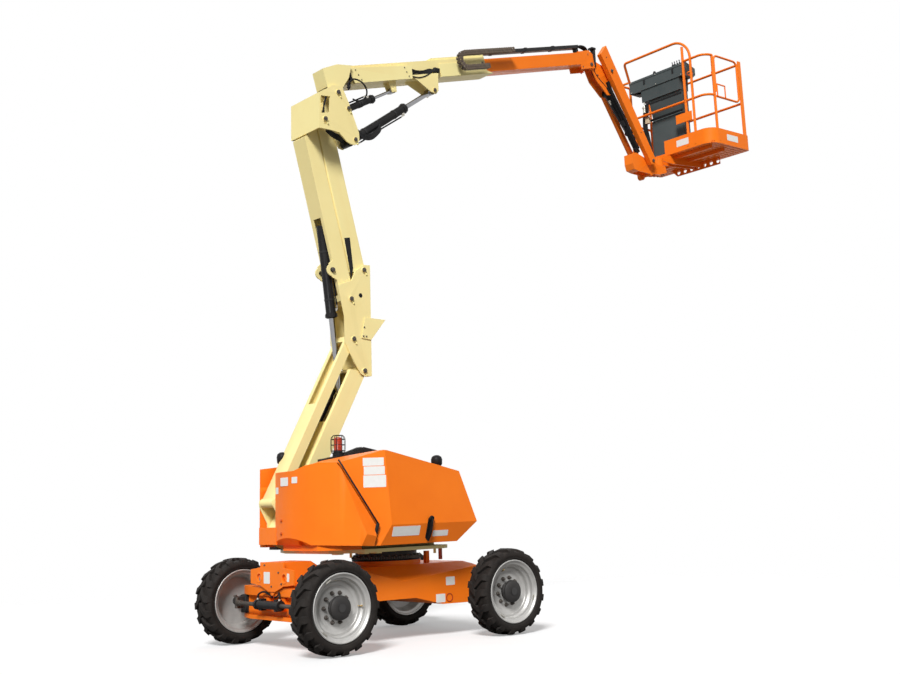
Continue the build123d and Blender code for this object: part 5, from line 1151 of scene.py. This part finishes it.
class LIFT_OT_platform(bpy.types.Operator):
    """Console details, sticks, switches, hoses, valve, box, floor mesh, plates, welds and rotator details"""
    bl_idname = "lift.platform"
    bl_label = "Platform"

    def execute(self, context):
        body = "platform"
        slope = unit((0.323, 0, 0.946))
        fall = unit((0.946, 0, -0.323))

        def top(run, y):
            """A point on the console's sloping face: run metres down the slope from its ridge."""
            return np.array((CONSOLE_X + 0.06, y, RAIL_TOP + 0.035)) + fall * run

        rim = [block(size, 0.002, top(run, y), slope, fall) for size, run, y in (
            ((0.01, 0.93, 0.006), 0.012, 0.4), ((0.01, 0.93, 0.006), 0.185, 0.4),
            ((0.176, 0.01, 0.006), 0.098, -0.062), ((0.176, 0.01, 0.006), 0.098, 0.862))]
        rim.append(block((0.008, 0.93, 0.012), 0.002, (CONSOLE_X - 0.001, 0.4, RAIL_TOP - 0.02)))
        piece("console_rim", body, "slate_plastic", rim, 35, 0.0015)
        piece("console_panel", body, "knob", [
            block((0.15, 0.88, 0.004), 0.01, top(0.098, 0.4), slope, fall)], 35, 0.001)
        boot = [(0, 0), (0.034, 0), (0.036, 0.006), (0.03, 0.014), (0.02, 0.022), (0.014, 0.032), (0.008, 0.036)]
        grip = np.array([(0.008, -0.03), (0.017, -0.02), (0.021, 0), (0.019, 0.022), (0.01, 0.03), (0, 0.031)])
        sticks = [
            at(turned([*boot, *(grip + (0, tall))], 24), top(0.09, y), slope)
            for y, tall in ((0.56, 0.085), (0.2, 0.07))]
        knob = turned([(0, 0), (0.018, 0), (0.017, 0.014), (0.013, 0.018), (0, 0.018)], 20)
        knobs = [at(knob, top(run, y), slope) for run, y in (
            (0.05, -0.02), (0.05, 0.04), (0.05, 0.1), (0.12, -0.02), (0.12, 0.06), (0.14, 0.32), (0.14, 0.4),
            (0.14, 0.48), (0.06, 0.7), (0.12, 0.78))]
        piece("control_sticks", body, "knob", sticks + knobs, 45)
        stop = turned([
            (0, 0), (0.014, 0), (0.014, 0.01), (0.026, 0.012), (0.026, 0.02), (0.016, 0.027), (0, 0.028)], 28)
        piece("stop_button", body, "red_paint", [at(stop, top(0.06, 0.8), slope)])
        switch = turned([
            (0, -0.008), (0.013, -0.008), (0.013, 0.01), (0.006, 0.014), (0.005, 0.034), (0.008, 0.04),
            (0.006, 0.048), (0, 0.05)], 16)
        switches = [
            at(switch, (CONSOLE_X + 0.03, y, RAIL_TOP + 0.02), (-0.2, 0, 1)) for y in np.linspace(-0.045, 0.115, 5)]
        piece("console_switches", body, "knob", switches, 45)
        latches = [block((0.014, 0.026, 0.06), 0.004, (CONSOLE_X - 0.006, y, RAIL_TOP - 0.06)) for y in (0.6, 0.1)]
        piece("console_latches", body, "knob", latches, 35, 0.002)
        bolts = [
            bolt((CONSOLE_X, y, z), FRONT, 0.011, 0.005) for y in (-0.04, 0.4, 0.84)
            for z in (RAIL_TOP - 0.15, RAIL_TOP - 0.015)]
        piece("console_bolts", body, "zinc", bolts)
        # painted shade: thin black sheets on the console stand give the shade inside its top recess and a low
        # groove
        recess_shade = [block((0.008, 0.56, height), 0.0, (CONSOLE_X + 0.051, 0.3025, z))
                for height, z in ((0.15, 6.43), (0.03, 6.129))]
        piece("console_recess", body, "knob", recess_shade, 35, 0.001)
        # tray hoses, valve and box beside the stand
        hoses = []
        for lane in range(5):
            y = 0.61 + lane * 0.016
            hoses.append(hose([
                (CONSOLE_X + 0.06, y, 6.38), (CONSOLE_X + 0.045 - 0.006 * lane, y, 6.22),
                (CONSOLE_X + 0.02, y + 0.01, 6.05), (CONSOLE_X + 0.04, y, 5.9), (CONSOLE_X + 0.03, y - 0.03, 5.75),
                (CONSOLE_X + 0.01, y - 0.06, 5.66)], 0.0085))
        for lane in range(3):
            y = 0.64 + lane * 0.02
            hoses.append(hose([
                (CONSOLE_X + 0.01, y, 5.66), (4.98, y - 0.04, 5.6), (4.94, y - 0.12, 5.52),
                (4.9, 0.46 - lane * 0.02, 5.46)], 0.0085))
        piece("platform_hoses", body, "hose_rubber", hoses, 60)
        piece("hand_valve", body, "zinc", [
            block((0.036, 0.04, 0.09), 0.006, (CONSOLE_X + 0.012, 0.64, 6.29)),
            at(hexagon(0.026, 0.02), (CONSOLE_X - 0.006, 0.64, 6.31), FRONT),
            at(hexagon(0.026, 0.02), (CONSOLE_X + 0.012, 0.64, 6.335), UP),
            straight((CONSOLE_X + 0.012, 0.64, 6.355), (CONSOLE_X + 0.012, 0.64, 6.4), 0.006)], 35, 0.002)
        piece(
            "junction_box", body, "beige_box", [block((0.045, 0.07, 0.085), 0.006, (CONSOLE_X + 0.02, 0.6, 6.13))],
            35, 0.003)
        # Expanded-metal floor from above and from below: strand k's y is its own plus
        # 0.028 (2 |frac((x - 5) / 0.074 + k / 2) - 1/2| - 1/2), kept inside the floor.
        xs = np.linspace(5.0, 5.71, 40)
        for name, finish, ends, x_line, z, radius in (
            ("floor_mesh", "orange_paint", (-0.47, 1.01, 26), xs, FLOOR_TOP + 0.001, 0.003),
            # the strands seen from below wear the darker orange: painted shade under the floor
            ("floor_mesh_under", "orange_grime", (-0.46, 1.0, 24), xs * 0.97 + 0.16, PLATFORM_Z - 0.0005, 0.0035),
        ):
            strands = []
            for k, y in enumerate(np.linspace(*ends)):
                wave = y + 0.028 * (2 * np.abs(((xs - 5.0) / 0.074 + 0.5 * (k % 2)) % 1 - 0.5) - 0.5)
                line = np.stack([x_line, np.clip(wave, -0.485, 1.025), 0 * xs + z], 1)
                strands.append(pipe(line, radius, 6))
            piece(name, body, finish, strands, 60)
        braces = [block((0.03, 1.3, 0.04), 0.0, (x, 0.27, PLATFORM_Z - 0.02)) for x in (5.1, 5.35)]
        piece("floor_braces", body, "orange_paint", braces, 35, 0.002)
        # lanyard ring, plates, latch and welds on the rails
        ring = wire_ring(0.034, 0, 0.007, 10, 32)
        piece("lanyard_rings", body, "orange_paint", [at(ring, (X_NEAR + 0.006, -0.195, 6.543), (0.3, 0.2, 1))], 60)
        plates = [
            block((0.008, 0.27, 0.12), 0.012, (X_NEAR - 0.018, -0.065, 5.975)),
            block((0.008, 0.1, 0.06), 0.01, (X_NEAR - 0.018, 0.7, 5.83))]
        piece("rail_plates", body, "orange_paint", plates, 35, 0.002)
        latch = [block((0.014, 0.016, 0.155), 0.003, (x, Y_NEAR - 0.016, 6.268)) for x in (5.172, 5.33)]
        latch.append(block((0.172, 0.016, 0.014), 0.003, (5.251, Y_NEAR - 0.016, 6.345)))
        piece("gate_latch", "gate", "orange_paint", latch, 35, 0.0015)
        piece("gate_hinges", body, "orange_paint", [
            block((0.03, 0.006, 0.04), 0.003, (5.132, Y_NEAR + 0.019, RAIL_MID + 0.3))], 35, 0.001)
        strips = [block((0.012, 0.23, 0.022), 0.004, (X_FAR, y, RAIL_MID + 0.006)) for y in (0.16, 0.62)]
        piece("rail_strips", body, "dark_steel", strips, 35, 0.002)
        weld = turned([(0.0178, -0.004), (0.0225, -0.003), (0.0225, 0.003), (0.0178, 0.004)], 24, True)
        welds = [
            at(weld, (x, y, RAIL_MID + step))
            for x, y in ((X_NEAR, -0.1), (X_NEAR, 0.79), (X_FAR, 0.47), (5.579, Y_FAR), (5.191, Y_FAR))
            for step in (-0.016, 0.016)]
        piece("rail_welds", body, "orange_paint", welds, 60)
        feet = [block((0.052, 0.052, 0.008), 0.01, (x, y, FLOOR_TOP + 0.0045)) for x, y in (
            (X_FAR, 0.47), (X_FAR - 0.13, Y_FAR), (X_NEAR + 0.19, Y_FAR), (X_NEAR, -0.1), (X_NEAR, 0.79),
            (5.132, Y_NEAR), (X_NEAR, -0.222))]
        piece("post_feet", body, "orange_paint", feet, 35, 0.001)
        rotator = [
            bolt((ROTATOR_X + 0.07 * math.cos(a), BOOM_Y + 0.07 * math.sin(a), 5.255), (0, 0, -1), 0.016, 0.008)
            for a in round_turn(8)]
        piece("rotator_bolts", "platform_support", "dark_steel", rotator)
        band = np.array([(0.0955, 0.004), (0.1, 0.006), (0.1, 0.016), (0.0955, 0.018)])
        bands = [at(turned(band + (0, step), 48, True), (ROTATOR_X, BOOM_Y, 5.262)) for step in (0, 0.072)]
        piece("rotator_band", "platform_support", "orange_paint", bands)
        return {"FINISHED"}


STEPS = (
    LIFT_OT_stage, LIFT_OT_paintwork, LIFT_OT_wheels, LIFT_OT_covers, LIFT_OT_beacon, LIFT_OT_pins,
    LIFT_OT_cylinders, LIFT_OT_tower, LIFT_OT_boom, LIFT_OT_jib, LIFT_OT_chassis, LIFT_OT_platform)


class LIFT_PT_panel(bpy.types.Panel):
    """Sizes, colours and the build steps of the boom lift"""
    bl_idname = "LIFT_PT_panel"
    bl_label = "Boom lift"
    bl_space_type = "VIEW_3D"
    bl_region_type = "UI"
    bl_category = "Boom lift"

    def draw(self, context):
        scene = context.scene
        for group, names in (
                (scene.lift_look, ("orange_paint", "cream_paint", "slate_plastic", "edge_round")),
                (scene.lift_wheels, ("lugs", "lug_depth", "studs")),
                (scene.lift_studio, ("sky", "key", "floor_radius"))):
            for name in names:
                self.layout.prop(group, name)
        for step in STEPS:
            self.layout.operator(step.bl_idname)


GROUPS = (("lift_look", LiftLook), ("lift_wheels", LiftWheels), ("lift_studio", LiftStudio))


def register():
    """Registers the property groups, the operators and the panel, and hangs the groups on the scene."""
    for kind in [kind for _, kind in GROUPS] + list(STEPS) + [LIFT_PT_panel]:
        bpy.utils.register_class(kind)
    for name, kind in GROUPS:
        setattr(bpy.types.Scene, name, bpy.props.PointerProperty(type=kind))


def unregister():
    """Takes back what register does, in the opposite order."""
    for name, _ in GROUPS:
        delattr(bpy.types.Scene, name)
    for kind in [LIFT_PT_panel] + list(reversed(STEPS)) + [kind for _, kind in GROUPS]:
        bpy.utils.unregister_class(kind)


def main():
    """Runs every build step."""
    register()
    for step in STEPS:
        group, name = step.bl_idname.split(".")
        getattr(getattr(bpy.ops, group), name)()


if __name__ == "__main__":
    main()
